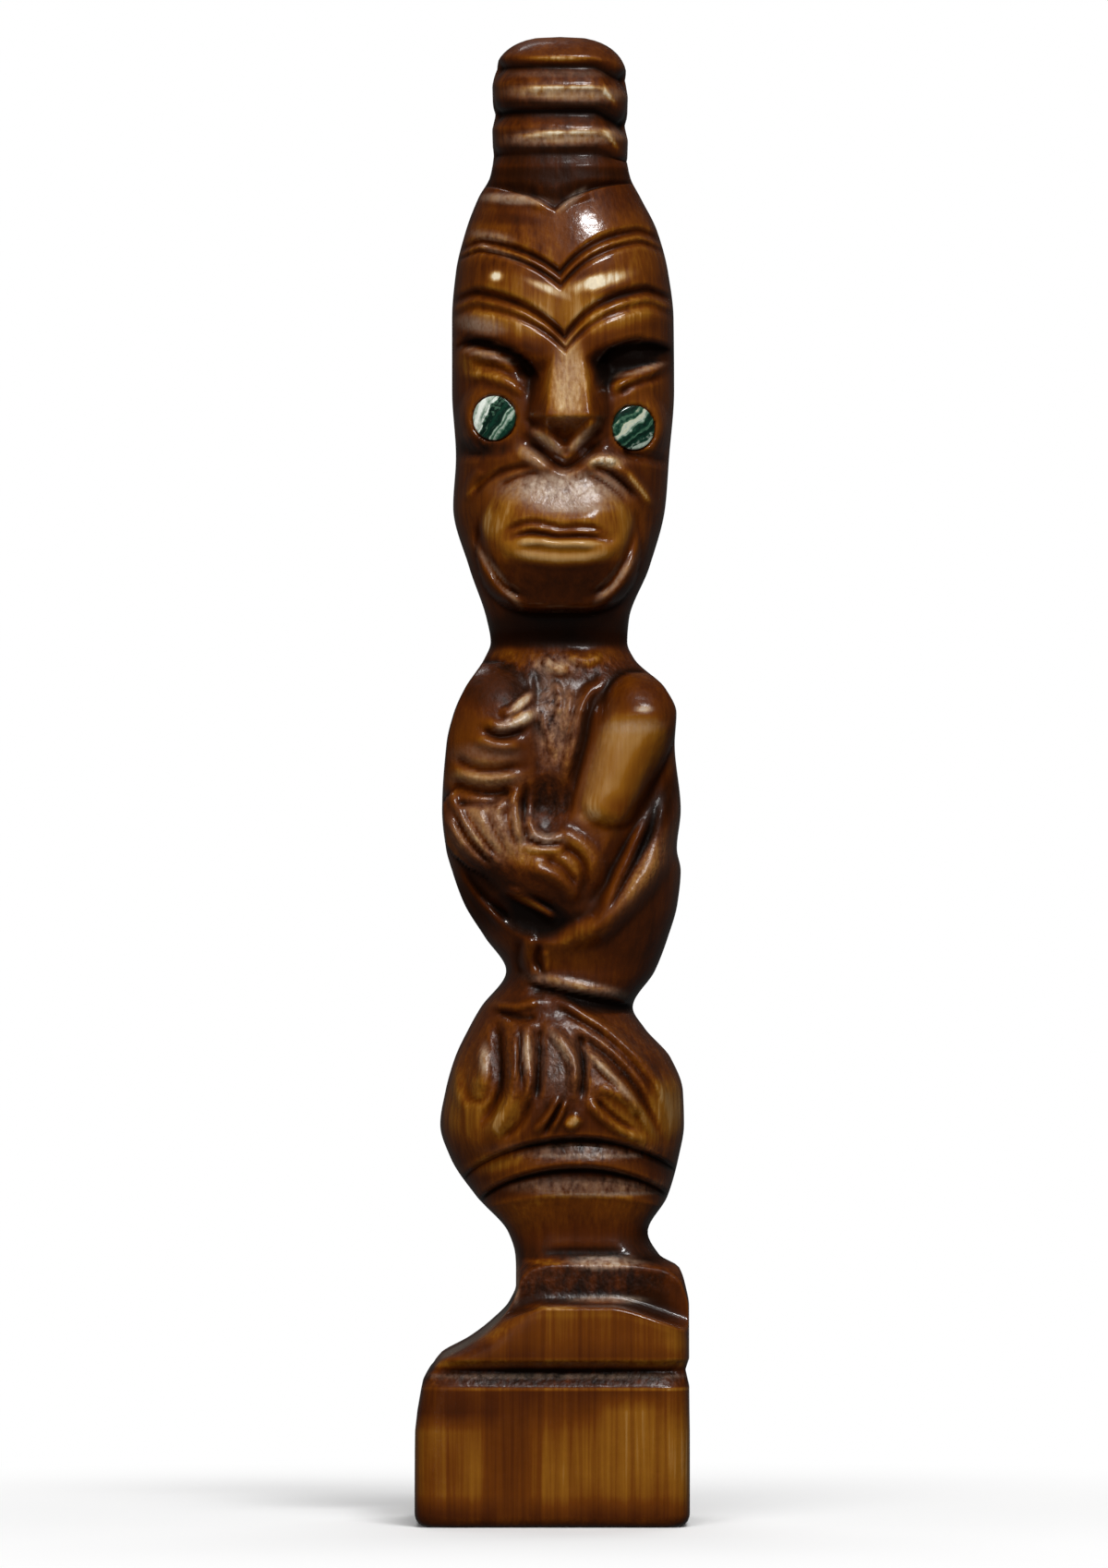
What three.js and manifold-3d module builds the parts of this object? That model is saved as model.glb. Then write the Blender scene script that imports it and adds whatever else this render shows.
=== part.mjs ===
// A carved wooden ancestor figure on its own block, with two shell discs let into the cheeks.
// The figure and the block are one piece of wood. Front is -Y, up is +Z, and the origin is at
// the middle of the underside. Every length is in millimetres and every angle in degrees.

import * as THREE from "three";
import { mergeVertices } from "three/addons/utils/BufferGeometryUtils.js";
import Module from "manifold-3d";

const wasm = await Module();
wasm.setup();

// Driving dimensions
const HEIGHT = 269.2;
const BLOCK_DEPTH = 24.75;
const FOOT_ROUND = 2.4;
const AXIS_X = 1.5;

// The outline: height, left and right edge, depth in front and behind, squareness of the section
const STATIONS = [
  [0, -24.75, 24.9, BLOCK_DEPTH, BLOCK_DEPTH, 13],
  [16, -24.7, 24.9, BLOCK_DEPTH, BLOCK_DEPTH, 13],
  [24, -23.7, 24.8, BLOCK_DEPTH, BLOCK_DEPTH, 12],
  [27.5, -22.7, 24.8, BLOCK_DEPTH, BLOCK_DEPTH, 11],
  [30, -20.3, 24.8, BLOCK_DEPTH, BLOCK_DEPTH, 10],
  [33, -15, 24.8, BLOCK_DEPTH, BLOCK_DEPTH, 9],
  [36, -11.1, 24.8, BLOCK_DEPTH, BLOCK_DEPTH, 8],
  [39.5, -7.8, 24.8, BLOCK_DEPTH, 23.2, 7],
  [43, -6.5, 24.2, BLOCK_DEPTH, 18, 5],
  [46, -6.5, 23.1, 20, 15.2, 4.2],
  [48.2, -6.6, 19.6, 15.6, 14.3, 3.6],
  [52.5, -7.9, 17.4, 14.2, 13.6, 3.4],
  [59, -13.7, 21, 16.3, 16.4, 2.8],
  [66, -18.4, 23, 19.9, 19, 2.5],
  [72, -20.25, 24, 21, 20.4, 2.4],
  [78, -19.3, 23.8, 21.2, 20, 2.4],
  [84, -17.6, 21.6, 19.6, 18.4, 2.4],
  [89.5, -15, 16.8, 17.2, 16, 2.4],
  [93.2, -12.9, 14.7, 15, 14.6, 2.4],
  [99.8, -8.3, 18.7, 14.4, 13.8, 2.4],
  [106, -12.2, 21.1, 16.6, 15.6, 2.4],
  [112, -15.9, 22.8, 18, 17, 2.4],
  [118, -18.1, 23.4, 18.4, 17.8, 2.4],
  [122, -19.2, 22.7, 18.4, 18, 2.4],
  [129, -19.9, 23.4, 17.8, 18.2, 2.5],
  [141, -19.1, 22.3, 17.2, 17.6, 2.6],
  [146.5, -17.8, 22.6, 16.6, 16.4, 2.6],
  [151, -15.8, 20.6, 13.9, 14.8, 2.6],
  [156.5, -12.2, 14.9, 10.8, 12.4, 2.5],
  [159.4, -11.1, 13.7, 9.8, 11.6, 2.5],
  [163.5, -11.8, 14, 11.2, 12, 2.5],
  [173, -15, 17.7, 15.4, 15.2, 2.5],
  [184, -17.9, 20.6, 17.4, 17.2, 2.5],
  [193, -17.4, 21.3, 17.5, 18.2, 2.5],
  [205, -18.1, 22.2, 17.6, 18.8, 2.5],
  [218, -18.1, 22.1, 18, 18.4, 2.5],
  [226.5, -17.4, 21.1, 17.2, 17.4, 2.5],
  [234, -15.6, 19.1, 15.4, 15.4, 2.5],
  [240, -13.3, 16.1, 13.4, 13.4, 2.5],
  [243.8, -11.2, 14.2, 12.2, 12.2, 2.6],
  [246, -10.8, 13.8, 11.9, 11.9, 2.8],
  [260, -10.8, 13.8, 11.9, 11.9, 2.8],
];

// The domed end of the topknot
const DOME = { start: 260, power: 2.5 };

// Grooves that run round the piece: half width above and below, depth in front and at the sides, and
// the shares of the way ahead between which the depth changes
const ROUND_CORNER = [0, 0.3];
const SQUARE_CORNER = [0.86, 0.99];
const GROOVES = [
  { level: 263.3, above: 1.7, below: 3, front: 1.7, side: 0.5, corner: ROUND_CORNER },
  { level: 256.9, above: 3.4, below: 0.6, front: 0.5, side: 0.1, corner: ROUND_CORNER },
  { level: 255, above: 2, below: 2.6, front: 1.9, side: 0.6, corner: ROUND_CORNER },
  { level: 248.9, above: 3, below: 0.6, front: 0.4, side: 0.1, corner: ROUND_CORNER },
  { level: 247.8, above: 1.4, below: 2.4, front: 1.1, side: 0.3, corner: ROUND_CORNER },
  { level: 28.2, above: 2, below: 3, front: 2.8, side: 0.8, corner: SQUARE_CORNER },
];

// Forehead: the levels climb on both sides of a point that drifts across, and droop at the sides
const CHEVRON = {
  x: 0.8,
  drift: 0.075,
  top: 235,
  rise: 9.8,
  flatterLeft: 2.8,
  flatterRight: 1.2,
  flattest: 227,
  flatSpan: 6,
  reachLeft: 8.6,
  reachRight: 7,
  low: 196,
  lowFade: 18,
  high: 246,
  highFade: 16,
  droop: 2.2,
  droopFrom: 15,
  droopTo: 21,
  middle: 1.8,
};
const FOREHEAD_CUTS = [
  { level: 225.9, above: 0.9, below: 1.3, depth: 1.6 },
  { level: 223.6, above: 0.7, below: 1.2, depth: 1.2 },
  { level: 214.3, above: 1.2, below: 1.6, depth: 2 },
  { level: 212, above: 0.7, below: 1.1, depth: 1.1 },
];
const CROWN_RIM = { level: 237, depth: 1.3, fade: 5.5 };

// The topknot's bands droop at the right
const BAND_DROOP = { drop: 2, from: 8, to: 14, fade: 3, high: 264 };

// Hem of the figure: arched cuts over the ankles
const HEM = { x: 5, leftBow: 0.0125, rightBow: 0.017, low: 53, lowFade: 12, high: 71, highFade: 16 };
const HEM_CUTS = [
  { level: 69.6, above: 0.6, below: 4.2, depth: 2.4 },
  { level: 64.1, above: 0.7, below: 4.4, depth: 2.7 },
];
const HEM_EDGE = { level: 59.3, depth: 0.1, fade: 4 };
const HEM_TOP = 78;
const HEM_FOOT = 54;
const BACK_SHARE = 0.5;

// Arched panel on the front of the block, and the hollow that rises behind its edge to the ankles
const ARCH = {
  top: 39.6,
  foot: 30.6,
  fadeFrom: 41.6,
  fadeTo: 52,
  leftFrom: -1.6,
  leftDrop: 0.33,
  leftPower: 1.22,
  rightFrom: 11,
  rightDrop: 0.116,
  rightPower: 1.4,
};
const COVE = {
  height: 3.4,
  depth: 17.4,
  power: 3,
  shelf: 48,
  shelfUnder: 1.2,
  shelfOver: 1.4,
  ankle: 14.2,
  flare: 0.5,
  flareFrom: 50,
  top: 60,
  soft: 0.3,
};

// Face
const NOSE = {
  x: 3,
  top: 213,
  tip: 200,
  topHalf: 2.4,
  tipHalf: 3.9,
  topDepth: 17.2,
  tipDepth: 21.4,
  soft: 1,
};
const NOSE_FALLS = { side: 1.5, under: 1.4, over: 0.9 };
const MUZZLE = {
  x: 1.2,
  z: 177.8,
  wide: 15,
  tall: 13.8,
  back: 8.5,
  rise: 13,
  tilt: 0,
  square: 3,
  power: 2.4,
  fullness: 0.5,
};
const MUZZLE_BREAKS = {
  depth: 20.6,
  upper: 182.6,
  upperSlope: 0.55,
  lower: 173.4,
  lowerSlope: 0.65,
  lowerBow: 0.03,
  soft: 0.8,
};
const CHEEKS = { low: 192, high: 208, fade: 3, depth: 1.2 };

// Shell discs and the flat facets of the cheeks round them
const DISC = {
  radius: 4,
  thick: 2,
  crown: 0.35,
  proud: 0.25,
  sides: 24,
  shoulder: 0.72,
  shoulderFall: 0.3,
};
const FIT_GAP = 0.3;
const FACET = { from: 4.5, to: 7.6 };
const POCKET_REACH = 6;
const DISCS = [
  { name: "shell_eye_left", x: -10.4, z: 199.7, depth: 14.4, turn: -16 },
  { name: "shell_eye_right", x: 14.8, z: 198, depth: 13.8, turn: 20 },
];

// Rounded masses of the body: middle, half sizes, depth at the rim and rise above it
const MASSES = [
  { x: -10.4, z: 140, wide: 10.5, tall: 15.8, back: 6, rise: 12.4, tilt: 0, power: 2.2, fullness: 0.5 },
  { x: -9.6, z: 124.8, wide: 11.4, tall: 8, back: 14.4, rise: 5.2, tilt: -0.5, power: 2.2, fullness: 0.8 },
  {
    x: -1.4,
    z: 118.8,
    wide: 12,
    tall: 7.2,
    back: 14.2,
    rise: 6.4,
    tilt: -0.28,
    power: 2.2,
    fullness: 0.75,
  },
];
const MASS_SOFT = 1.6;
const CLUB = {
  top: [15.6, 146],
  end: [8.2, 125.4],
  topHalf: 7.8,
  endHalf: 6.2,
  back: 9.5,
  rise: 10.6,
  power: 2.4,
  tip: 4.4,
  soft: 0.9,
};
const LEDGE = {
  z: 96.5,
  slope: -0.22,
  x: 5,
  depth: 1.7,
  fade: 4.2,
  leftFrom: -5.4,
  leftTo: -1.4,
  rightFrom: 13,
  rightTo: 19,
};
const CHEST = {
  left: -3.3,
  lowRight: 2.8,
  topRight: 8.6,
  low: 128.5,
  high: 152,
  depth: 0.8,
  soft: 0.9,
  fade: 3,
};

// Oval hollows below the palm and at the foot of the chest
const HOLLOWS = [
  { x: -3.4, z: 109.8, long: 8.4, wide: 4.2, tilt: -0.35, depth: 2.6 },
  { x: -0.4, z: 130.2, long: 4.6, wide: 5.6, tilt: 0, depth: 1.9 },
];
const EYE_HOLLOWS = [
  { x: -6.2, z: 209.4, long: 4.8, wide: 2.4, tilt: -0.42, depth: 1.3 },
  { x: 12.4, z: 209.6, long: 7.4, wide: 3.8, tilt: 0.12, depth: 2.4 },
];
const HOLLOW_POWER = 1.2;

// Spans of height that the carving of each part covers
const TORSO_SPAN = [92, 162];
const FACE_SPAN = [158, 222];

// Carved strokes, each through a few points across and up
const ridge = (half, size, ...path) => ({ kind: "ridge", half, size, path });
const cut = (half, size, ...path) => ({ kind: "cut", half, size, path });
const stepRight = (half, size, ...path) => ({ kind: "right", half, size, path });
const stepLeft = (half, size, ...path) => ({ kind: "left", half, size, path });

const BROWS = [
  stepRight(6.6, 3.9, [-19, 212.6], [-12, 214.2], [-8.4, 213], [-5, 211.2], [-2.6, 208.2], [-2, 201]),
  stepLeft(8.4, 4.2, [23, 212.6], [16, 214.1], [12.8, 213.5], [10, 212], [8, 209.4], [7.6, 201]),
];

const FACE_STROKES = [
  ridge(1.7, 1.7, [-4.2, 197.8], [-1.4, 196.6], [0.8, 195], [2.6, 193.2]),
  ridge(1.7, 1.7, [9.2, 199.2], [6.6, 197.4], [4.4, 195.4], [2.6, 193.2]),
  cut(1.5, 2, [-4.6, 195.8], [-2, 193.9], [0.3, 191.9], [2.6, 190.9], [4.9, 192], [7, 193.9], [9.4, 196]),
  cut(1.2, 1.4, [-9.2, 178.2], [-6, 179.6], [-1.5, 179.3], [2, 178.7], [5.4, 179.1], [11, 177.3]),
  ridge(1.4, 1, [-7.2, 176.9], [-3, 177.2], [0.8, 176.8], [4.6, 176.8], [9, 176.4]),
  cut(1.1, 1, [-14, 185.4], [-12.6, 187.8], [-10, 189.6], [-6.5, 190.7], [-3.4, 191]),
  cut(1.2, 1.2, [6.8, 191.2], [10, 190], [13, 187.7], [15.6, 184.8]),
  ridge(1.5, 0.9, [11, 191], [14, 189.4], [16.4, 186.6], [18.6, 183]),
  cut(1.5, 1.4, [12.4, 194], [16, 193], [22.4, 191.6]),
  cut(1.6, 0.9, [-18.6, 192.6], [-15, 193.4], [-11.6, 193.2]),
  cut(1.3, 1.1, [-13.4, 181.4], [-12.7, 177], [-10.8, 172.8], [-8, 169.2], [-4.4, 167.4]),
  ridge(1.6, 1.3, [-14.8, 180], [-14, 175.4], [-12, 171.2], [-9, 168], [-5, 166]),
  cut(1.3, 1.1, [15.1, 182], [14.2, 177], [12.4, 172.8], [9.8, 169.4], [6.6, 167.6]),
  ridge(2.3, 1.5, [17.2, 182], [16.2, 176], [14.2, 171.4], [11.6, 168.2], [7.6, 166]),
  ridge(1.3, 0.9, [-17.4, 211.8], [-13.5, 211.6], [-9.4, 210.2], [-5.4, 207.6]),
  ridge(1.4, 1.1, [10.4, 204.4], [13.4, 206.6], [17, 208.2], [21, 209.2]),
];

const TORSO_STROKES = [
  ridge(
    3.4, 2.3, [22.4, 134], [21, 126], [18.7, 119.6], [15.6, 115], [11.8, 111], [7.4, 107.4],
    [0, 105.4],
  ),
  ridge(1.5, 1.4, [17.2, 128], [13.9, 121], [11.6, 116.2], [8.8, 110.8]),
  cut(3, 1.7, [21.4, 140], [17.4, 130.4], [13.4, 123.2], [9.8, 117], [5.4, 110.4]),
  ridge(1.6, 1.1, [10.6, 153.2], [6.8, 150.4], [5.2, 147], [4.2, 142], [3.1, 138], [2.2, 134.4]),
  cut(1.9, 1.4, [10.4, 151], [7.4, 147], [6.3, 142], [5, 137], [3.9, 132], [3.2, 126.6]),
  ridge(1.7, 1.3, [-12.4, 145.2], [-9.2, 144], [-6, 144.8], [-3, 147]),
  ridge(1.6, 1.2, [-9.4, 145.9], [-7.2, 146.8], [-5.4, 148.2], [-3.4, 150.4]),
  cut(1.3, 0.9, [-12.6, 143.8], [-9, 142.4], [-4.4, 143.4]),
  ridge(1.4, 0.9, [-14, 142], [-10, 140.6], [-5.4, 140.6]),
  cut(1.4, 1.1, [-18, 138.8], [-14.4, 136.8], [-10.6, 136.2], [-4.8, 137]),
  ridge(1.4, 0.9, [-18, 135.8], [-12, 134.6], [-5.6, 135.3]),
  cut(1.4, 1.1, [-18.4, 134.4], [-15, 132.9], [-11, 132], [-6.6, 133]),
  ridge(1.4, 1.3, [-18.6, 133.6], [-17.6, 130], [-14.8, 125.4], [-11.6, 121.2], [-8.8, 118.2]),
  ridge(1.5, 1.4, [-19.2, 128.6], [-17, 124], [-14, 120.6], [-10, 117.8]),
  ridge(1.3, 1, [-17.6, 119], [-14.6, 114.6], [-12, 111.4], [-8, 107.6]),
  cut(1.3, 1.3, [-4.2, 134.6], [-4.9, 130.4], [-4.9, 127], [-4, 124]),
  ridge(1.5, 1.3, [-6.6, 133.4], [-6.5, 128], [-5.4, 122.6]),
  ridge(1.5, 1.3, [-5, 128.4], [-3.4, 125], [-0.6, 123.6], [2.2, 124.6]),
  ridge(2.2, 1.2, [0.6, 125.2], [3.8, 123.8], [6.8, 121.2], [8.3, 117.6], [7.6, 112.6]),
  cut(1.3, 1, [0.6, 122.6], [4.2, 121.2], [5.8, 118.2], [5.4, 113.4]),
  ridge(2, 1.1, [-4.6, 119], [-0.6, 117.6], [2.6, 115.4], [4.2, 111.6]),
  ridge(1.4, 1.4, [-8.8, 115], [-5, 113.2], [-1.6, 111], [0.8, 109.2]),
  ridge(1.6, 1.2, [-3.8, 106.6], [-4.3, 101.6], [-2.4, 98.8]),
];

const LEG_STROKES = [
  ridge(1.4, 1.2, [-0.8, 95.5], [5.4, 92.4], [9.4, 90], [14.2, 86], [17.6, 82], [19.8, 78.4], [21.2, 74]),
  cut(1.4, 1.6, [2.8, 89.2], [8, 86.2], [12, 82.8], [15, 79.2], [17, 75.4], [20, 69.4]),
  ridge(1.4, 1.4, [6.4, 85.8], [9, 83], [12, 80], [14.8, 76.8], [16.8, 73.6], [19.2, 68.6]),
  ridge(1.8, 1.7, [0, 89.8], [2, 87.2], [3.6, 84.8], [4.3, 82], [3.9, 78]),
  cut(1.3, 1.6, [-2.2, 90.6], [-2.2, 84], [-2.7, 76.6]),
  cut(1.4, 1.7, [4.8, 89], [5.6, 83], [5.4, 76.6]),
  ridge(1.5, 1.4, [-4.4, 91.4], [-4.5, 85.6], [-3.9, 80.2], [-4.6, 75.4]),
  cut(1.7, 2.1, [-10.2, 92.2], [-9.3, 86], [-9.1, 80.4], [-10.2, 76.2], [-13.2, 71]),
  ridge(2.6, 1.5, [-7.5, 90], [-7.3, 84], [-6.9, 79.4], [-8.4, 74.6], [-12.4, 69.2]),
  cut(
    1.2, 0.6, [-13.6, 87], [-15.6, 81.4], [-14.8, 77.4], [-12.4, 76.7], [-10.9, 79.6], [-11, 84],
    [-12.4, 87.6],
  ),
  cut(1.2, 1.1, [-10.2, 92.8], [-6, 91.6], [-2.4, 91.6]),
  ridge(1.3, 1.1, [-3.4, 70.6], [-0.6, 74], [1.4, 77.6]),
  ridge(1.5, 1.2, [6.2, 77.2], [9.2, 73.8], [12.6, 71.4], [17.8, 68.8]),
  ridge(1.5, 1.1, [8, 79.6], [13, 77.2], [16, 73.8]),
];
const LEG_TOP = 100;
const STROKE_STEPS = 6;
const TAPER = { least: 0.15, share: 0.2 };
const STEP_EDGE = 0.5;
const STROKE_EDGE = 0.9;

// Grid of the solid: columns from each turn to the next on both sides, and the rows' spacing
const COLUMN_BANDS = [
  { from: 0, to: 45, columns: 11 },
  { from: 45, to: 90, columns: 5 },
  { from: 90, to: 135, columns: 3 },
  { from: 135, to: 180, columns: 3 },
];
const SPACINGS = [
  { top: FOOT_ROUND, spacing: 1.2 },
  { top: 25.2, spacing: 23 },
  { top: 39.6, spacing: 6 },
  { top: 60, spacing: 3 },
  { top: 95, spacing: 2.9 },
  { top: 158, spacing: 3.1 },
  { top: 212, spacing: 2.8 },
  { top: 265.2, spacing: 4 },
  { top: HEIGHT, spacing: 1.4 },
];
const LEAST_SPACING = 0.35;

// Levels where the carving turns sharply: ripples of the arm, lips, nose and brows
const TURNS = [
  122.2, 130.2, 132.6, 134.8, 136.6, 142.4, 145.2, 176.9,
  178.3, 179.3, 182.4, 191, 193.4, 199.6, 200.1, 207.2,
  208.1,
];
const SIDE_SHARE = 0.3;

const clamp = (value) => Math.min(1, Math.max(0, value));

const ease = (from, to, value) => {
  const t = clamp((value - from) / (to - from));
  return t * t * (3 - 2 * t);
};

const radians = (degrees) => (degrees * Math.PI) / 180;

const softMax = (a, b, soft) => {
  const t = clamp(0.5 + (0.5 * (a - b)) / soft);
  return b + (a - b) * t + soft * t * (1 - t);
};

const softMin = (a, b, soft) => -softMax(-a, -b, soft);

// A V-shaped cut, 1 at its floor and 0 at its edges
const notch = (offset, above, below) => clamp(1 - Math.abs(offset) / (offset > 0 ? above : below));

// Slopes of the outline at each station, kept from overshooting
function stationSlopes(column) {
  const last = STATIONS.length - 1;
  const rise = (i) => STATIONS[i + 1][column] - STATIONS[i][column];
  const rate = (i) => rise(i) / (STATIONS[i + 1][0] - STATIONS[i][0]);
  return STATIONS.map((_, i) => {
    if (i === 0 || i === last) return 0;
    const before = rate(i - 1);
    const after = rate(i);
    return before * after <= 0 ? 0 : (2 * before * after) / (before + after);
  });
}

const SLOPES = [1, 2, 3, 4, 5].map(stationSlopes);

// The section at a height
function sectionAt(height) {
  const z = Math.min(height, DOME.start);
  let i = 0;
  while (i < STATIONS.length - 2 && STATIONS[i + 1][0] < z) i += 1;
  const span = STATIONS[i + 1][0] - STATIONS[i][0];
  const t = clamp((z - STATIONS[i][0]) / span);
  const [left, right, front, back, square] = SLOPES.map((slopes, k) => {
    const a = STATIONS[i][k + 1];
    const b = STATIONS[i + 1][k + 1];
    const bend = (1 - t) * slopes[i] * span - t * slopes[i + 1] * span + (2 * t - 1) * (b - a);
    return a + (b - a) * t + t * (1 - t) * bend;
  });
  return { middle: (left + right) / 2, half: (right - left) / 2, front, back, square };
}

// The share of the section left under the dome, and the inset of the rounded foot
function shrinkAt(z) {
  const dome = clamp((z - DOME.start) / (HEIGHT - DOME.start));
  return Math.pow(1 - Math.pow(dome, DOME.power), 1 / DOME.power);
}

function footInset(z) {
  const t = clamp(1 - z / FOOT_ROUND);
  return FOOT_ROUND * (1 - Math.sqrt(1 - t * t));
}

// Lift of the levels that bends them to the chevrons, the topknot's bands, the hem and the arch
function chevronLift(x, level) {
  const middle = CHEVRON.x + CHEVRON.drift * (CHEVRON.top - level);
  const [flatter, reach] =
    x < middle ? [CHEVRON.flatterLeft, CHEVRON.reachLeft] : [CHEVRON.flatterRight, CHEVRON.reachRight];
  const flat = (level - CHEVRON.flattest) / CHEVRON.flatSpan;
  const rise = CHEVRON.rise - flatter * Math.exp(-flat * flat);
  const climb = rise * (1 - Math.exp(-Math.abs(x - middle) / reach));
  const droop = CHEVRON.droop * ease(CHEVRON.droopFrom, CHEVRON.droopTo, Math.abs(x - CHEVRON.middle));
  const low = ease(CHEVRON.low, CHEVRON.low + CHEVRON.lowFade, level);
  const high = 1 - ease(CHEVRON.high - CHEVRON.highFade, CHEVRON.high, level);
  return (climb - droop) * low * high;
}

function bandLift(x, level) {
  const low = ease(CHEVRON.high, CHEVRON.high + BAND_DROOP.fade, level);
  const high = 1 - ease(BAND_DROOP.high, HEIGHT, level);
  return -BAND_DROOP.drop * ease(BAND_DROOP.from, BAND_DROOP.to, x) * low * high;
}

function hemLift(x, level) {
  const low = ease(HEM.low, HEM.low + HEM.lowFade, level);
  const high = 1 - ease(HEM.high, HEM.high + HEM.highFade, level);
  const bow = x < HEM.x ? HEM.leftBow : HEM.rightBow;
  return -bow * (x - HEM.x) * (x - HEM.x) * low * high;
}

function archLift(x, level) {
  const left = ARCH.leftDrop * Math.pow(Math.max(0, ARCH.leftFrom - x), ARCH.leftPower);
  const right = ARCH.rightDrop * Math.pow(Math.max(0, x - ARCH.rightFrom), ARCH.rightPower);
  return -(left + right) * ease(ARCH.foot, ARCH.top, level) * (1 - ease(ARCH.fadeFrom, ARCH.fadeTo, level));
}

const LIFTS = [chevronLift, bandLift, hemLift, archLift];

const bentLift = (x, level) => LIFTS.reduce((sum, lift) => sum + lift(x, level), 0);

// The nearest place on a stroke's curve: its distance, its run from 0 to 1 and the side it is on
function nearestOn(curve, x, z) {
  let best = { away: Infinity, run: 0, side: 0 };
  for (let i = 0; i < curve.length - 1; i += 1) {
    const a = curve[i];
    const dx = curve[i + 1].x - a.x;
    const dz = curve[i + 1].y - a.y;
    const t = clamp(((x - a.x) * dx + (z - a.y) * dz) / (dx * dx + dz * dz));
    const away = Math.hypot(x - a.x - t * dx, z - a.y - t * dz);
    if (away < best.away) {
      best = { away, run: (i + t) / (curve.length - 1), side: dx * (z - a.y) - dz * (x - a.x) };
    }
  }
  return best;
}

// Height across each kind of stroke, from the distance to its line and the side of it
const ACROSS = {
  ridge: (away, half) => Math.pow(clamp(1 - (away / half) * (away / half)), 2),
  cut: (away, half) => -clamp(1 - away / half),
  left: (away, half, side) => {
    if (side <= 0) return 0;
    return -Math.pow(clamp(1 - away / half), 2) * ease(0, STROKE_EDGE, away);
  },
  right: (away, half, side) => ACROSS.left(away, half, -side),
};

function withCurves(strokes) {
  return strokes.map((stroke) => {
    const spline = new THREE.SplineCurve(stroke.path.map(([x, z]) => new THREE.Vector2(x, z)));
    return { ...stroke, curve: spline.getPoints(STROKE_STEPS * (stroke.path.length - 1)) };
  });
}

function strokeRelief(strokes, x, z) {
  return strokes.reduce((sum, stroke) => {
    const { away, run, side } = nearestOn(stroke.curve, x, z);
    if (away >= stroke.half) return sum;
    const ends = ease(0, TAPER.share, run) * (1 - ease(1 - TAPER.share, 1, run));
    const taper = TAPER.least + (1 - TAPER.least) * ends;
    return sum + stroke.size * ACROSS[stroke.kind](away, stroke.half, side) * taper;
  }, 0);
}

const CURVES = {
  brows: withCurves(BROWS),
  face: withCurves(FACE_STROKES),
  torso: withCurves(TORSO_STROKES),
  legs: withCurves(LEG_STROKES),
};

// Place in an oval's own tilted frame, in its half sizes
function ovalPlace(oval, wide, tall, x, z) {
  const c = Math.cos(oval.tilt);
  const s = Math.sin(oval.tilt);
  const across = ((x - oval.x) * c + (z - oval.z) * s) / wide;
  const up = ((z - oval.z) * c - (x - oval.x) * s) / tall;
  return { across, up };
}

// Depth of a rounded mass in front of the middle plane
function massDepth(mass, x, z) {
  const { across, up } = ovalPlace(mass, mass.wide, mass.tall, x, z);
  const { square = mass.power } = mass;
  const far = Math.pow(Math.abs(across), square) + Math.pow(Math.abs(up), mass.power);
  return far < 1 ? mass.back + mass.rise * Math.pow(1 - far, mass.fullness) : 0;
}

function hollowDepth(hollow, x, z) {
  const { across, up } = ovalPlace(hollow, hollow.long, hollow.wide, x, z);
  return hollow.depth * Math.pow(clamp(1 - across * across - up * up), HOLLOW_POWER);
}

function muzzleDepth(x, z) {
  const { depth, upper, upperSlope, lower, lowerSlope, lowerBow, soft } = MUZZLE_BREAKS;
  const edge = lower + lowerBow * (x - MUZZLE.x) * (x - MUZZLE.x);
  const above = depth - upperSlope * (z - upper);
  const below = depth - lowerSlope * (edge - z);
  return softMin(softMin(massDepth(MUZZLE, x, z), above, soft), below, soft);
}

function noseDepth(x, z) {
  const down = clamp((NOSE.top - z) / (NOSE.top - NOSE.tip));
  const half = NOSE.topHalf + (NOSE.tipHalf - NOSE.topHalf) * down;
  const line = NOSE.topDepth + (NOSE.tipDepth - NOSE.topDepth) * down;
  const side = NOSE_FALLS.side * Math.max(0, Math.abs(x - NOSE.x) - half);
  const under = NOSE_FALLS.under * Math.max(0, NOSE.tip - z);
  const over = NOSE_FALLS.over * Math.max(0, z - NOSE.top);
  return line - side - under - over;
}

function clubDepth(x, z) {
  const dx = CLUB.end[0] - CLUB.top[0];
  const dz = CLUB.end[1] - CLUB.top[1];
  const length = Math.hypot(dx, dz);
  const along = ((x - CLUB.top[0]) * dx + (z - CLUB.top[1]) * dz) / length;
  const across = ((x - CLUB.top[0]) * dz - (z - CLUB.top[1]) * dx) / length;
  const half = CLUB.topHalf + (CLUB.endHalf - CLUB.topHalf) * clamp(along / length);
  const beyond = Math.max(0, along - length + CLUB.tip) / (CLUB.tip + 1);
  const past = along < 0 ? along / half : beyond;
  const far = Math.pow(Math.abs(across) / half, CLUB.power) + past * past;
  return far < 1 ? CLUB.back + CLUB.rise * Math.sqrt(1 - far) : 0;
}

// Depth of the flat facet that holds a disc
const facetDepth = (disc, x) => disc.depth - Math.tan(radians(disc.turn)) * (x - disc.x);

function ledgeCut(x, z) {
  const edge = LEDGE.z + LEDGE.slope * (x - LEDGE.x);
  const span = ease(LEDGE.leftFrom, LEDGE.leftTo, x) * (1 - ease(LEDGE.rightFrom, LEDGE.rightTo, x));
  return span * stepCut(LEDGE, edge - z);
}

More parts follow.
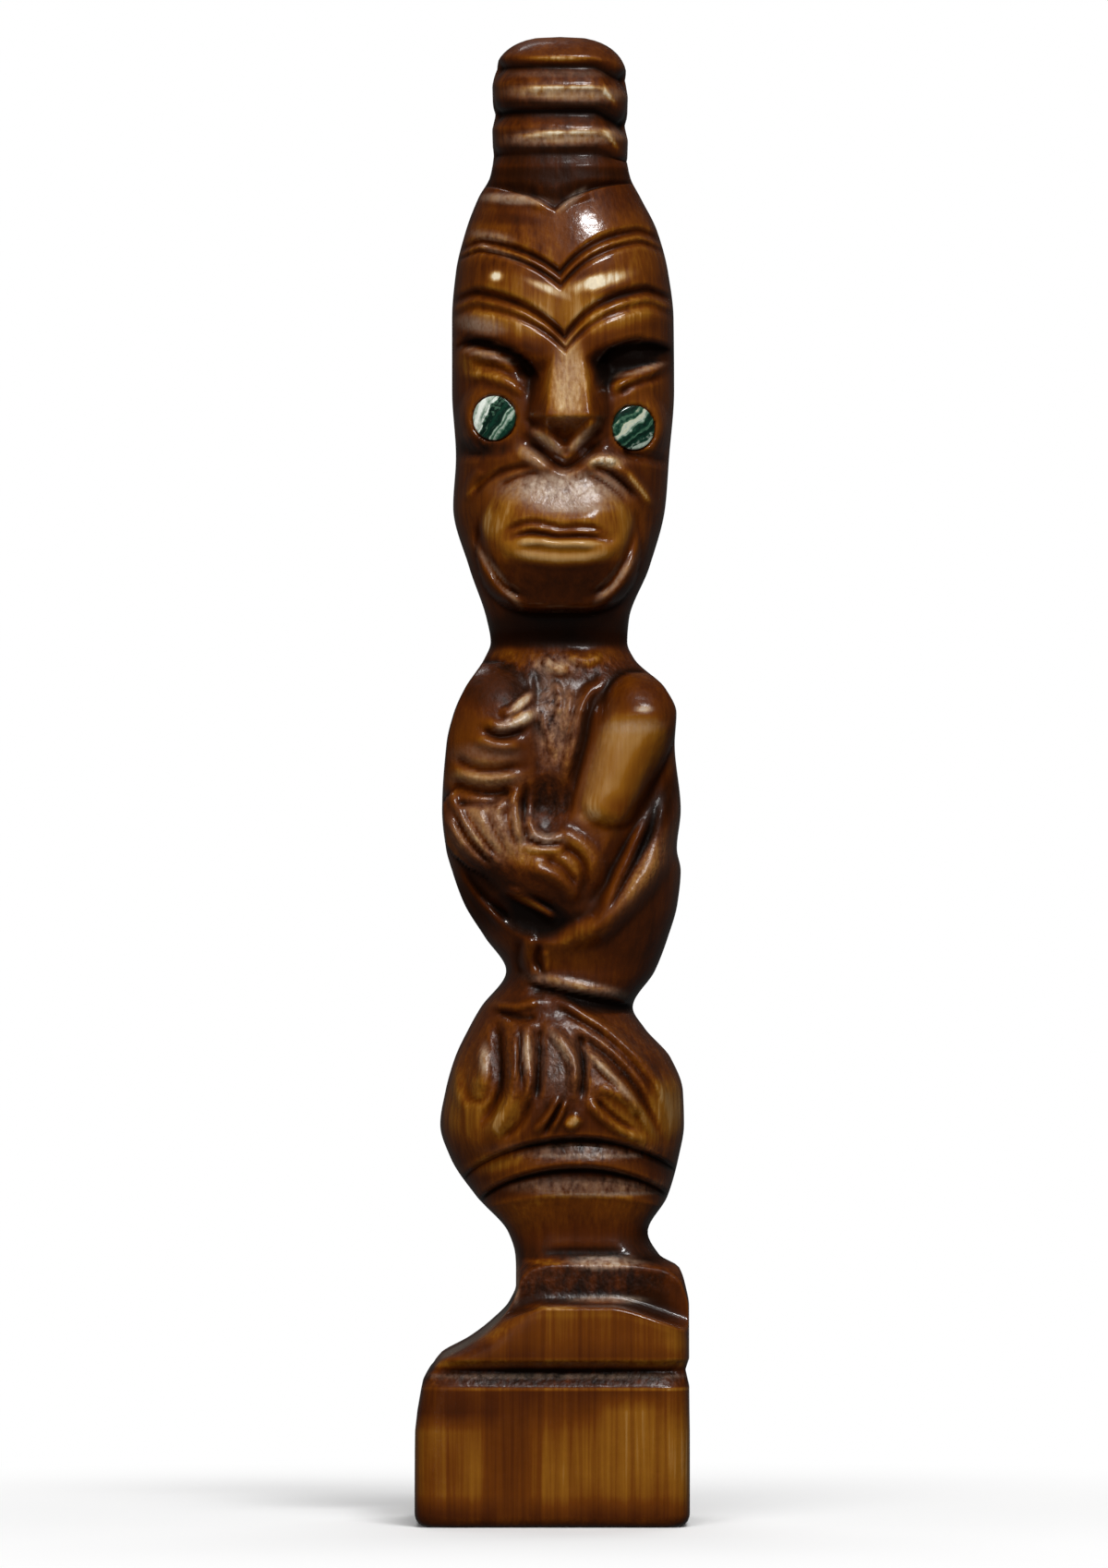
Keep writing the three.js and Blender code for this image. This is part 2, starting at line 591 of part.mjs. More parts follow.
function chestCut(x, z) {
  const up = clamp((z - CHEST.low) / (CHEST.high - CHEST.low));
  const right = CHEST.lowRight + (CHEST.topRight - CHEST.lowRight) * up;
  const inside = ease(CHEST.left - CHEST.soft, CHEST.left + CHEST.soft, x);
  const outside = ease(right - CHEST.soft, right + CHEST.soft, x);
  const tall = ease(CHEST.low - 1, CHEST.low + 1, z) * (1 - ease(CHEST.high, CHEST.high + CHEST.fade, z));
  return CHEST.depth * inside * (1 - outside) * tall;
}

// Cuts that follow the bent levels, and a sharp step that fades out beyond its edge
function levelCuts(cuts, level) {
  return cuts.reduce((sum, { level: floor, above, below, depth }) => {
    return sum + depth * notch(level - floor, above, below);
  }, 0);
}

function stepCut(step, past) {
  if (past < 0) return 0;
  return step.depth * ease(0, STEP_EDGE, past) * (1 - ease(STEP_EDGE, step.fade, past));
}

function hemCut(level) {
  if (level < HEM_FOOT || level > HEM_TOP) return 0;
  return levelCuts(HEM_CUTS, level) + stepCut(HEM_EDGE, HEM_EDGE.level - level);
}

// The carving of each part of the front, in order from the block up
function blockFront(depth, level) {
  const climb = clamp((level - ARCH.top) / COVE.height);
  const round = Math.pow(1 - Math.pow(1 - climb, COVE.power), 1 / COVE.power);
  const hollow = COVE.depth + (BLOCK_DEPTH - COVE.depth) * (1 - round);
  const overShelf = ease(COVE.shelf - COVE.shelfUnder, COVE.shelf + COVE.shelfOver, level);
  const shelf = (COVE.depth - COVE.ankle) * overShelf;
  const flare = COVE.flare * Math.max(0, level - COVE.flareFrom);
  return softMin(depth, level > ARCH.top ? hollow - shelf + flare : BLOCK_DEPTH, COVE.soft);
}

function torsoFront(plain, x, z) {
  const full = MASSES.reduce((depth, mass) => softMax(depth, massDepth(mass, x, z), MASS_SOFT), plain);
  const sunk = HOLLOWS.reduce((depth, hollow) => depth - hollowDepth(hollow, x, z), full - chestCut(x, z));
  return softMax(sunk, clubDepth(x, z), CLUB.soft) - ledgeCut(x, z) + strokeRelief(CURVES.torso, x, z);
}

function faceFront(plain, x, z) {
  const overLow = ease(CHEEKS.low, CHEEKS.low + CHEEKS.fade, z);
  const underHigh = 1 - ease(CHEEKS.high, CHEEKS.high + CHEEKS.fade, z);
  const sunk = plain - CHEEKS.depth * overLow * underHigh + strokeRelief(CURVES.brows, x, z);
  const hollowed = EYE_HOLLOWS.reduce((depth, hollow) => depth - hollowDepth(hollow, x, z), sunk);
  const nosed = softMax(hollowed, noseDepth(x, z), NOSE.soft);
  const flat = DISCS.reduce((depth, disc) => {
    const across = (x - disc.x) / Math.cos(radians(disc.turn));
    const near = 1 - ease(FACET.from, FACET.to, Math.hypot(across, z - disc.z));
    return depth + (facetDepth(disc, x) - depth) * near;
  }, nosed);
  return softMax(flat, muzzleDepth(x, z), 1) + strokeRelief(CURVES.face, x, z);
}

function frontDepth(plain, x, z, level) {
  let depth = level < COVE.top ? blockFront(plain, level) : plain;
  if (z < LEG_TOP) depth += strokeRelief(CURVES.legs, x, z) - hemCut(level);
  if (z > TORSO_SPAN[0] && z < TORSO_SPAN[1]) depth = torsoFront(depth, x, z);
  if (z > FACE_SPAN[0] && z < FACE_SPAN[1]) depth = faceFront(depth, x, z);
  return depth - levelCuts(FOREHEAD_CUTS, level) - stepCut(CROWN_RIM, level - CROWN_RIM.level);
}

// A point of the carving, from its turn about the middle (0 in front) and its level
function carvedPoint(turn, level) {
  const rough = sectionAt(level);
  const across = Math.sin(turn);
  const ahead = Math.cos(turn);
  const reach = ({ square }) => {
    const sum = Math.pow(Math.abs(across), square) + Math.pow(Math.abs(ahead), square);
    return Math.pow(sum, -1 / square);
  };
  const z = level + bentLift(rough.middle + across * reach(rough) * rough.half, level);
  const section = sectionAt(z);
  const scale = reach(section) * shrinkAt(z);
  const u = across * scale;
  const v = ahead * scale;
  const facing = ease(0, SIDE_SHARE, Math.abs(v));
  const inset = GROOVES.reduce((sum, groove) => {
    const [from, to] = groove.corner;
    const deep = groove.side + (groove.front - groove.side) * ease(from, to, Math.abs(v));
    return sum + deep * notch(level - groove.level, groove.above, groove.below);
  }, footInset(z));
  const long = Math.hypot(u, v) || 1;
  const x = section.middle + u * section.half - (inset * u) / long;
  const plain = (v > 0 ? section.front : section.back) * Math.abs(v) - (inset * Math.abs(v)) / long;
  if (v <= 0) {
    const lines = hemCut(level) + stepCut(CROWN_RIM, level - CROWN_RIM.level);
    return new THREE.Vector3(x, plain - BACK_SHARE * lines * facing, z);
  }
  const carved = frontDepth(plain, x, z, level);
  return new THREE.Vector3(x, -(plain + (carved - plain) * facing), z);
}

// Levels of the rows: one on every edge and floor of a cut, and rows between at each band's spacing
function rowLevels() {
  const tops = SPACINGS.map(({ top }) => top);
  const cuts = [...GROOVES, ...FOREHEAD_CUTS, ...HEM_CUTS];
  const lines = cuts.flatMap(({ level, above, below }) => [level - below, level, level + above]);
  const rims = [CROWN_RIM.level, CROWN_RIM.level + STEP_EDGE, HEM_EDGE.level, HEM_EDGE.level - STEP_EDGE];
  const panel = [ARCH.top, ARCH.top + STEP_EDGE, ARCH.top + COVE.height, COVE.shelf];
  const keys = [0, ...tops, ...lines, ...rims, ...panel, ...TURNS].sort((a, b) => a - b);
  return keys.reduce((levels, key) => {
    const last = levels.at(-1);
    if (last === undefined) return [key];
    if (key - last < LEAST_SPACING) return levels;
    const { spacing } = SPACINGS.find(({ top }) => key <= top);
    const rows = Math.max(1, Math.round((key - last) / spacing));
    const between = Array.from({ length: rows }, (_, i) => last + ((key - last) * (i + 1)) / rows);
    return [...levels, ...between];
  }, []);
}

// Turns of the columns round the piece, from the back round by the front to the back again
function columnTurns() {
  const side = COLUMN_BANDS.flatMap(({ from, to, columns }) =>
    Array.from({ length: columns }, (_, i) => from + ((to - from) * (i + 1)) / columns),
  );
  const left = side.map((turn) => -turn).reverse();
  return [...left, 0, ...side.slice(0, -1)].map(radians);
}

// A closed cylinder grid, every point of it moved to its place on the carving
function carvingGeometry() {
  const levels = rowLevels();
  const turns = columnTurns();
  const rows = levels.length - 1;
  const geometry = new THREE.CylinderGeometry(1, 1, 1, turns.length, rows);
  geometry.deleteAttribute("normal");
  geometry.deleteAttribute("uv");
  const points = geometry.getAttribute("position");
  for (let i = 0; i < points.count; i += 1) {
    const level = levels[Math.round((points.getY(i) + 0.5) * rows)];
    const onAxis = Math.hypot(points.getX(i), points.getZ(i)) < 0.5;
    const around = 0.5 + Math.atan2(points.getX(i), points.getZ(i)) / (2 * Math.PI);
    const turn = turns[Math.round(around * turns.length) % turns.length];
    const point = onAxis ? new THREE.Vector3(AXIS_X, 0, level) : carvedPoint(turn, level);
    points.setXYZ(i, point.x, point.y, point.z);
  }
  return mergeVertices(geometry, 1e-4);
}

// A solid from a geometry, and a geometry from a solid
function solidOf(geometry) {
  const plain = geometry.clone();
  plain.deleteAttribute("normal");
  plain.deleteAttribute("uv");
  const merged = mergeVertices(plain, 1e-4);
  return new wasm.Manifold(
    new wasm.Mesh({
      numProp: 3,
      vertProperties: new Float32Array(merged.getAttribute("position").array),
      triVerts: new Uint32Array(merged.index.array),
    }),
  );
}

function geometryOf(solid) {
  const mesh = solid.getMesh();
  const geometry = new THREE.BufferGeometry();
  geometry.setAttribute("position", new THREE.BufferAttribute(mesh.vertProperties, 3));
  geometry.setIndex(new THREE.BufferAttribute(mesh.triVerts, 1));
  return geometry;
}

// A round plug from a profile of radius and height, its domed end at the top
function plugGeometry(radius, low, high, crown) {
  const profile = [
    new THREE.Vector2(0, low),
    new THREE.Vector2(radius, low),
    new THREE.Vector2(radius, high - crown),
    new THREE.Vector2(radius * DISC.shoulder, high - crown * DISC.shoulderFall),
    new THREE.Vector2(0, high),
  ];
  return new THREE.LatheGeometry(profile, DISC.sides);
}

// A plain round cutter with a flat end
function pocketGeometry(radius, low, high) {
  const geometry = new THREE.CylinderGeometry(radius, radius, high - low, DISC.sides);
  return geometry.translate(0, (low + high) / 2, 0);
}

// Turns a plug so that it faces out of the cheek at its disc's place
function seatOnCheek(geometry, disc) {
  const turn = new THREE.Matrix4().makeRotationZ(radians(disc.turn));
  const face = new THREE.Matrix4().makeRotationX(Math.PI);
  const place = new THREE.Matrix4().makeTranslation(disc.x, -disc.depth, disc.z);
  return geometry.applyMatrix4(place.multiply(turn).multiply(face));
}

function material(colour, roughness) {
  return new THREE.MeshStandardMaterial({ color: colour, roughness, metalness: 0 });
}

const figure = new THREE.Group();

const pocketFloor = DISC.proud - DISC.thick - FIT_GAP;
const carving = DISCS.reduce((solid, disc) => {
  const pocket = seatOnCheek(pocketGeometry(DISC.radius + FIT_GAP, pocketFloor, POCKET_REACH), disc);
  return solid.subtract(solidOf(pocket));
}, solidOf(carvingGeometry()));
const wood = new THREE.Mesh(geometryOf(carving), material(0x6a3d12, 0.3));
wood.name = "carved_figure";
figure.add(wood);

DISCS.forEach((disc) => {
  const plug = plugGeometry(DISC.radius, DISC.proud - DISC.thick, DISC.proud + DISC.crown, DISC.crown);
  const shell = new THREE.Mesh(seatOnCheek(plug, disc), material(0x3f7a66, 0.2));
  shell.name = disc.name;
  figure.add(shell);
});

export default figure;
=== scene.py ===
"""The finished look of a carved wooden ancestor figure with two shell discs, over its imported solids.

The carving is one surface worked out on a grid of turns round the figure and levels up it, in
millimetres, and put into the mesh in metres. Front is -Y, up is +Z.
"""

import logging
import math
from dataclasses import dataclass, field
from enum import Enum
from typing import NamedTuple, Union

import bpy
import numpy as np
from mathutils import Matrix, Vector


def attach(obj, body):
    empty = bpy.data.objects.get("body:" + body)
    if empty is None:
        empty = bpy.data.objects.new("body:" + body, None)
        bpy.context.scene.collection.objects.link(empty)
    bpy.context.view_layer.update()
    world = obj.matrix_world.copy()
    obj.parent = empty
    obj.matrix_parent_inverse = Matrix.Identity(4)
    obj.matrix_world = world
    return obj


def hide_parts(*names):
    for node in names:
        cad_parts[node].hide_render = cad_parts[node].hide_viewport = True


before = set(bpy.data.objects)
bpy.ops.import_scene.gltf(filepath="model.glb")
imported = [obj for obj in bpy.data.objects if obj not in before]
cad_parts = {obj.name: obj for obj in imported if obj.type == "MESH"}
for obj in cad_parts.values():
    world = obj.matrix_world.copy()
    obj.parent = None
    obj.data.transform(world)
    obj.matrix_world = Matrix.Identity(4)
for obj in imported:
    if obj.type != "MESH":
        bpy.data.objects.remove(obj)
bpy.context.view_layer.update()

LOG = logging.getLogger("figure")
MM = 0.001
# how wide the wall beside a brow's edge is, in millimetres
BROW_WALL = 0.9
# how many points a smooth stroke has between two points of its path
CURVE_STEPS = 8
# the half width of a patch that runs right across, in millimetres
ACROSS = 60
# the least length and the least area that anything is divided by
LEAST_LENGTH = 1e-6
LEAST_AREA = 1e-9
# the places of a colour Mix node's sockets
MIX_FACTOR, MIX_FIRST, MIX_SECOND, MIX_COLOUR = 0, 6, 7, 2
Span = tuple[float, float]
Points = tuple[Span, ...]
Colour = tuple[float, float, float]
Stops = tuple[tuple[float, Colour], ...]
Value = Union[bpy.types.NodeSocket, float]


def clamp(value: np.ndarray) -> np.ndarray:
    """The values kept between 0 and 1."""
    return np.clip(value, 0.0, 1.0)


def ease(start: float, stop: float, value: np.ndarray) -> np.ndarray:
    """A smooth climb from 0 at start to 1 at stop: t squared times (3 - 2t)."""
    t = clamp((value - start) / (stop - start))
    return t * t * (3 - 2 * t)


def soft_max(a: np.ndarray, b: np.ndarray, soft: float) -> np.ndarray:
    """The larger of a and b, with the crease between them rounded over about soft."""
    t = clamp(0.5 + 0.5 * (a - b) / soft)
    return b + (a - b) * t + soft * t * (1 - t)


def soft_min(a: np.ndarray, b: np.ndarray, soft: float) -> np.ndarray:
    """The smaller of a and b, with the crease between them rounded over about soft."""
    return -soft_max(-a, -b, soft)


def notch(offset: np.ndarray, above: float, below: float) -> np.ndarray:
    """A V cut, 1 at its floor and 0 where it meets the surface above and below."""
    return clamp(1 - np.abs(offset) / np.where(offset > 0, above, below))


def between(ends: Span, share: np.ndarray) -> np.ndarray:
    """The value this share of the way from the first end to the second."""
    return ends[0] + (ends[1] - ends[0]) * share


def within(span: Span, value: np.ndarray) -> np.ndarray:
    """Whether each value lies inside the span."""
    return (value > span[0]) & (value < span[1])


def window(climb: Span, fall: Span, value: np.ndarray) -> np.ndarray:
    """1 between two spans, with a smooth climb over the first and a smooth fall over the second."""
    return ease(*climb, value) * (1 - ease(*fall, value))


def oval(
    x: np.ndarray, z: np.ndarray, middle: Span, halves: Span, tilt: float
) -> tuple[np.ndarray, np.ndarray]:
    """Places measured from the middle of a tilted oval, as shares of its half sizes.

    Args:
        x: places across.
        z: places up.
        middle: the oval's middle, across and up.
        halves: its half sizes.
        tilt: how far it is turned, in radians.

    Returns:
        Each place's share of the first half size, and of the second.
    """
    c, s = math.cos(tilt), math.sin(tilt)
    dx, dz = x - middle[0], z - middle[1]
    return (dx * c + dz * s) / halves[0], (dz * c - dx * s) / halves[1]


class Station(NamedTuple):
    """One height of the outline, in millimetres."""

    z: float
    left: float
    right: float
    front: float
    back: float
    square: float


class Section(NamedTuple):
    """The section at each of many heights."""

    left: np.ndarray
    right: np.ndarray
    front: np.ndarray
    back: np.ndarray
    square: np.ndarray

    @property
    def middle(self) -> np.ndarray:
        """Halfway between the left and right edges."""
        return (self.left + self.right) / 2

    @property
    def half(self) -> np.ndarray:
        """Half the width."""
        return (self.right - self.left) / 2


@dataclass(frozen=True)
class Outline:
    """The silhouette and the plain section of the figure and its block."""

    height: float = 269.2
    foot_round: float = 2.4
    dome_start: float = 260.0
    dome_power: float = 2.5
    stations: tuple[Station, ...] = (
        Station(0, -24.75, 24.9, 24.75, 24.75, 13),
        Station(16, -24.7, 24.9, 24.75, 24.75, 13),
        Station(24, -23.7, 24.8, 24.75, 24.75, 12),
        Station(27.5, -22.7, 24.8, 24.75, 24.75, 11),
        Station(30, -20.3, 24.8, 24.75, 24.75, 10),
        Station(33, -15, 24.8, 24.75, 24.75, 9),
        Station(36, -11.1, 24.8, 24.75, 24.75, 8),
        Station(39.5, -7.8, 24.8, 24.75, 23.2, 7),
        Station(43, -6.5, 24.2, 24.75, 18, 5),
        Station(46, -6.5, 23.1, 20, 15.2, 4.2),
        Station(48.2, -6.6, 19.6, 15.6, 14.3, 3.6),
        Station(52.5, -7.9, 17.4, 14.2, 13.6, 3.4),
        Station(59, -13.7, 21, 16.3, 16.4, 2.8),
        Station(66, -18.4, 23, 19.9, 19, 2.5),
        Station(72, -20.25, 24, 21, 20.4, 2.4),
        Station(78, -19.3, 23.8, 21.2, 20, 2.4),
        Station(84, -17.6, 21.6, 19.6, 18.4, 2.4),
        Station(89.5, -15, 16.8, 17.2, 16, 2.4),
        Station(93.2, -12.9, 14.7, 15, 14.6, 2.4),
        Station(99.8, -8.3, 18.7, 14.4, 13.8, 2.4),
        Station(106, -12.2, 21.1, 16.6, 15.6, 2.4),
        Station(112, -15.9, 22.8, 18, 17, 2.4),
        Station(118, -18.1, 23.4, 18.4, 17.8, 2.4),
        Station(122, -19.2, 22.7, 18.4, 18, 2.4),
        Station(129, -19.9, 23.4, 17.8, 18.2, 2.5),
        Station(141, -19.1, 22.3, 17.2, 17.6, 2.6),
        Station(146.5, -17.8, 22.6, 16.6, 16.4, 2.6),
        Station(151, -15.8, 20.6, 13.9, 14.8, 2.6),
        Station(156.5, -12.2, 14.9, 10.8, 12.4, 2.5),
        Station(159.4, -11.1, 13.7, 9.8, 11.6, 2.5),
        Station(163.5, -11.8, 14, 11.2, 12, 2.5),
        Station(173, -15, 17.7, 15.4, 15.2, 2.5),
        Station(184, -17.9, 20.6, 17.4, 17.2, 2.5),
        Station(193, -17.4, 21.3, 17.5, 18.2, 2.5),
        Station(205, -18.1, 22.2, 17.6, 18.8, 2.5),
        Station(218, -18.1, 22.1, 18, 18.4, 2.5),
        Station(226.5, -17.4, 21.1, 17.2, 17.4, 2.5),
        Station(234, -15.6, 19.1, 15.4, 15.4, 2.5),
        Station(240, -13.3, 16.1, 13.4, 13.4, 2.5),
        Station(243.8, -11.2, 14.2, 12.2, 12.2, 2.6),
        Station(246, -10.8, 13.8, 11.9, 11.9, 2.8),
        Station(260, -10.8, 13.8, 11.9, 11.9, 2.8),
    )

    def section(self, z: np.ndarray) -> Section:
        """The section at each height, on curves through the stations that never overshoot.

        Args:
            z: heights in millimetres.

        Returns:
            The section's edges, depths and squareness, each an array like z. The slope at a station
            is the harmonic mean of the slopes on its two sides, or 0 where they turn round.
        """
        table = np.array(self.stations)
        at = table[:, 0]
        span = np.diff(at)
        rate = np.diff(table[:, 1:], axis=0) / span[:, None]
        before, after = rate[:-1], rate[1:]
        turning = before * after <= 0
        total = np.where(turning, 1, before + after)
        slope = np.zeros_like(table[:, 1:])
        slope[1:-1] = np.where(turning, 0, 2 * before * after / total)
        height = np.minimum(z, self.dome_start)
        i = np.clip(np.searchsorted(at, height, side="left") - 1, 0, len(at) - 2)
        t = clamp((height - at[i]) / span[i])[..., None]
        a, b = table[i, 1:], table[i + 1, 1:]
        run = span[i][..., None]
        bend = (1 - t) * slope[i] * run - t * slope[i + 1] * run + (2 * t - 1) * (b - a)
        made = a + (b - a) * t + t * (1 - t) * bend
        return Section(*np.moveaxis(made, -1, 0))

    def shrink(self, z: np.ndarray) -> np.ndarray:
        """The share of the section left at each height under the dome of the topknot."""
        dome = clamp((z - self.dome_start) / (self.height - self.dome_start))
        return (1 - dome**self.dome_power) ** (1 / self.dome_power)

    def foot_inset(self, z: np.ndarray) -> np.ndarray:
        """How far the rounded foot of the block stands in at each height."""
        t = clamp(1 - z / self.foot_round)
        return self.foot_round * (1 - np.sqrt(1 - t * t))


class Groove(NamedTuple):
    """A cut that runs right round: its height, half widths, and depths in front and at the sides."""

    z: float
    above: float
    below: float
    front: float
    side: float
    corner: Span = (0.0, 0.3)

    def inset(self, level: np.ndarray, ahead: np.ndarray) -> np.ndarray:
        """How far it cuts in, deepening between the two shares of the way ahead that bound its corner."""
        deep = between((self.side, self.front), ease(*self.corner, ahead))
        return deep * notch(level - self.z, self.above, self.below)


class LevelCut(NamedTuple):
    """A V cut along one bent level: its half widths above and below, and its depth."""

    level: float
    above: float
    below: float
    depth: float


class Step(NamedTuple):
    """A sharp drop past a level, which fades out again."""

    level: float
    depth: float
    fade: float
    drop: float = 0.5

    def cut(self, past: np.ndarray) -> np.ndarray:
        """The depth cut away at each distance past the edge."""
        fading = ease(0, self.drop, past) * (1 - ease(self.drop, self.fade, past))
        return np.where(past < 0, 0, self.depth * fading)


def level_cuts(cuts: tuple[LevelCut, ...], level: np.ndarray) -> np.ndarray:
    """The depth that all these cuts take at each level."""
    return sum(c.depth * notch(level - c.level, c.above, c.below) for c in cuts)


class Profile(Enum):
    """The profile across a carved stroke."""

    RIDGE = "ridge"
    CUT = "cut"
    LEFT_STEP = "left step"
    RIGHT_STEP = "right step"


@dataclass(frozen=True)
class Stroke:
    """One carved stroke through a few points across and up, in millimetres."""

    profile: Profile
    half: float
    size: float
    path: Points
    ends: float = 0.2
    least: float = 0.15

    def curve(self) -> np.ndarray:
        """The stroke's line, a Catmull-Rom curve through its path.

        Returns:
            Points across and up, one to a row. A path of two points stays straight.
        """
        p = np.array(self.path, float)
        if len(p) == 2:
            return p
        padded = np.vstack([2 * p[0] - p[1], p, 2 * p[-1] - p[-2]])
        t = (np.arange(CURVE_STEPS) / CURVE_STEPS)[None, :, None]
        a, b, c, d = (padded[k : k + len(p) - 1][:, None] for k in range(4))
        bend = (2 * a - 5 * b + 4 * c - d) * t + (3 * b - a - 3 * c + d) * t * t
        spans = b + 0.5 * t * (c - a + bend)
        return np.vstack([spans.reshape(-1, 2), p[-1]])

    def relief(self, x: np.ndarray, z: np.ndarray) -> np.ndarray:
        """The rise or fall that the stroke gives each place.

        Args:
            x: places across.
            z: places up.

        Returns:
            The height added at each place. With d the distance from the line over the half width, it
            is (1 - d squared) squared across a ridge and 1 - d across a cut. A step has it on one
            side only: it drops over the width of the wall and fades by (1 - d) squared. Both ends taper.
        """
        line = self.curve()
        low, high = line.min(0) - self.half, line.max(0) + self.half
        near = (x > low[0]) & (x < high[0]) & (z > low[1]) & (z < high[1])
        made = np.zeros_like(x)
        px, pz = x[near][:, None], z[near][:, None]
        start, along = line[:-1], np.diff(line, axis=0)
        dx, dz = px - start[:, 0], pz - start[:, 1]
        t = clamp((dx * along[:, 0] + dz * along[:, 1]) / (along**2).sum(1))
        gap = np.hypot(dx - t * along[:, 0], dz - t * along[:, 1])
        best = gap.argmin(1)
        pick = np.arange(len(best))
        away = gap[pick, best]
        run = (best + t[pick, best]) / len(along)
        side = along[best, 0] * dz[pick, best] - along[best, 1] * dx[pick, best]
        far = clamp(1 - away / self.half)
        across = {
            Profile.RIDGE: clamp(1 - (away / self.half) ** 2) ** 2,
            Profile.CUT: -far,
            Profile.LEFT_STEP: -np.where(side > 0, far * far * ease(0, BROW_WALL, away), 0),
            Profile.RIGHT_STEP: -np.where(side < 0, far * far * ease(0, BROW_WALL, away), 0),
        }[self.profile]
        taper = self.least + (1 - self.least) * ease(0, self.ends, run) * (1 - ease(1 - self.ends, 1, run))
        made[near] = self.size * across * taper
        return made


def ridge(half: float, size: float, *path: Span) -> Stroke:
    """A rounded raised line."""
    return Stroke(Profile.RIDGE, half, size, path)


def cut(half: float, size: float, *path: Span) -> Stroke:
    """A V-shaped cut line."""
    return Stroke(Profile.CUT, half, size, path)


def brow(profile: Profile, half: float, size: float, *path: Span) -> Stroke:
    """A sharp edge with a hollow under it, which tapers over a shorter share of its length."""
    return Stroke(profile, half, size, path, ends=0.16)


def all_strokes(strokes: tuple[Stroke, ...], x: np.ndarray, z: np.ndarray) -> np.ndarray:
    """The relief of several strokes together."""
    return sum(s.relief(x, z) for s in strokes)


@dataclass(frozen=True)
class Mass:
    """A rounded mass of the body: its middle, half sizes, rim depth and rise above the rim."""

    x: float
    z: float
    wide: float
    tall: float
    back: float
    rise: float
    tilt: float = 0.0
    power: float = 2.0
    fullness: float = 0.5

    def depth(self, x: np.ndarray, z: np.ndarray) -> np.ndarray:
        """The depth of the mass at each place.

        Args:
            x: places across.
            z: places up.

        Returns:
            The rim's depth plus the rise times (1 - distance to the power) to the fullness, which is a
            half for a ball, and 0 outside the mass.
        """
        across, up = oval(x, z, (self.x, self.z), (self.wide, self.tall), self.tilt)
        far = np.abs(across) ** self.power + np.abs(up) ** self.power
        inside = self.back + self.rise * np.maximum(0, 1 - far) ** self.fullness
        return np.where(far < 1, inside, 0)


@dataclass(frozen=True)
class Crown:
    """The topknot's grooves and the chevrons of the forehead."""

    grooves: tuple[Groove, ...] = (
        Groove(263.3, 1.7, 3.0, 1.7, 0.5),
        Groove(256.9, 3.4, 0.6, 0.5, 0.1),
        Groove(255.0, 2.0, 2.6, 1.9, 0.6),
        Groove(248.9, 3.0, 0.6, 0.4, 0.1),
        Groove(247.8, 1.4, 2.4, 1.1, 0.3),
    )
    x: float = 0.8
    drift: float = 0.075
    top: float = 235.0
    rise: float = 9.8
    flatter: Span = (2.8, 1.2)
    flattest: float = 227.0
    flat_reach: float = 6.0
    reaches: Span = (8.6, 7.0)
    climb_from: Span = (196.0, 214.0)
    climb_to: Span = (230.0, 246.0)
    droop: float = 2.2
    droop_x: float = 1.8
    droop_span: Span = (15.0, 21.0)
    band_droop: float = 2.0
    band_x: float = 1.5
    band_side: Span = (6.5, 12.5)
    band_from: Span = (246.0, 249.0)
    band_to: Span = (264.0, 269.0)
    lines_from: float = 206.0
    cuts: tuple[LevelCut, ...] = (
        LevelCut(225.9, 0.9, 1.3, 1.6),
        LevelCut(223.6, 0.7, 1.2, 1.2),
        LevelCut(214.3, 1.2, 1.6, 2.0),
        LevelCut(212.0, 0.7, 1.1, 1.1),
    )
    rim: Step = Step(237.0, 1.3, 5.5)
    strokes: tuple[Stroke, ...] = (
        ridge(0.8, 0.45, (-6.4, 259), (-1, 259.4), (6, 259.6), (9.4, 259.1), (12, 256.8)),
        ridge(0.8, 0.45, (-7.4, 249.9), (-1, 251.1), (6, 251.5), (9.6, 251.1), (12.4, 248.9)),
        ridge(0.7, 0.25, (-6, 264.6), (0, 264.9), (7, 264.9), (10, 263.8)),
        ridge(1.4, 0.6, (-13, 239.2), (-8, 239.6), (-4, 239), (0, 237.4)),
        ridge(1.0, 0.4, (1.4, 237.2), (3.4, 239), (7, 240.2)),
    )

    def lift(self, x: np.ndarray, level: np.ndarray) -> np.ndarray:
        """The climb of the levels on both sides of the chevrons' point.

        Args:
            x: places across.
            level: the level at each place.

        Returns:
            The lift: rise times 1 - exp(-distance over reach), less in the middle chevron and drooping
            at the sides, and the droop of the topknot's bands at the right.
        """
        past = x - self.x - self.drift * (self.top - level)
        reach = np.where(past < 0, *self.reaches)
        flatter = np.where(past < 0, *self.flatter)
        near = np.exp(-(((level - self.flattest) / self.flat_reach) ** 2))
        climb = (self.rise - flatter * near) * (1 - np.exp(-np.abs(past) / reach))
        climb = climb - self.droop * ease(*self.droop_span, np.abs(x - self.droop_x))
        band = self.band_droop * ease(*self.band_side, x - self.band_x)
        band = band * ease(*self.band_from, level) * (1 - ease(*self.band_to, level))
        return climb * window(self.climb_from, self.climb_to, level) - band

    def carve(self, depth: np.ndarray, x: np.ndarray, z: np.ndarray, level: np.ndarray) -> np.ndarray:
        """The depth with the lines of the forehead and the topknot."""
        lines = level_cuts(self.cuts, level) + self.rim.cut(level - self.rim.level)
        return np.where(level > self.lines_from, depth - lines + all_strokes(self.strokes, x, z), depth)


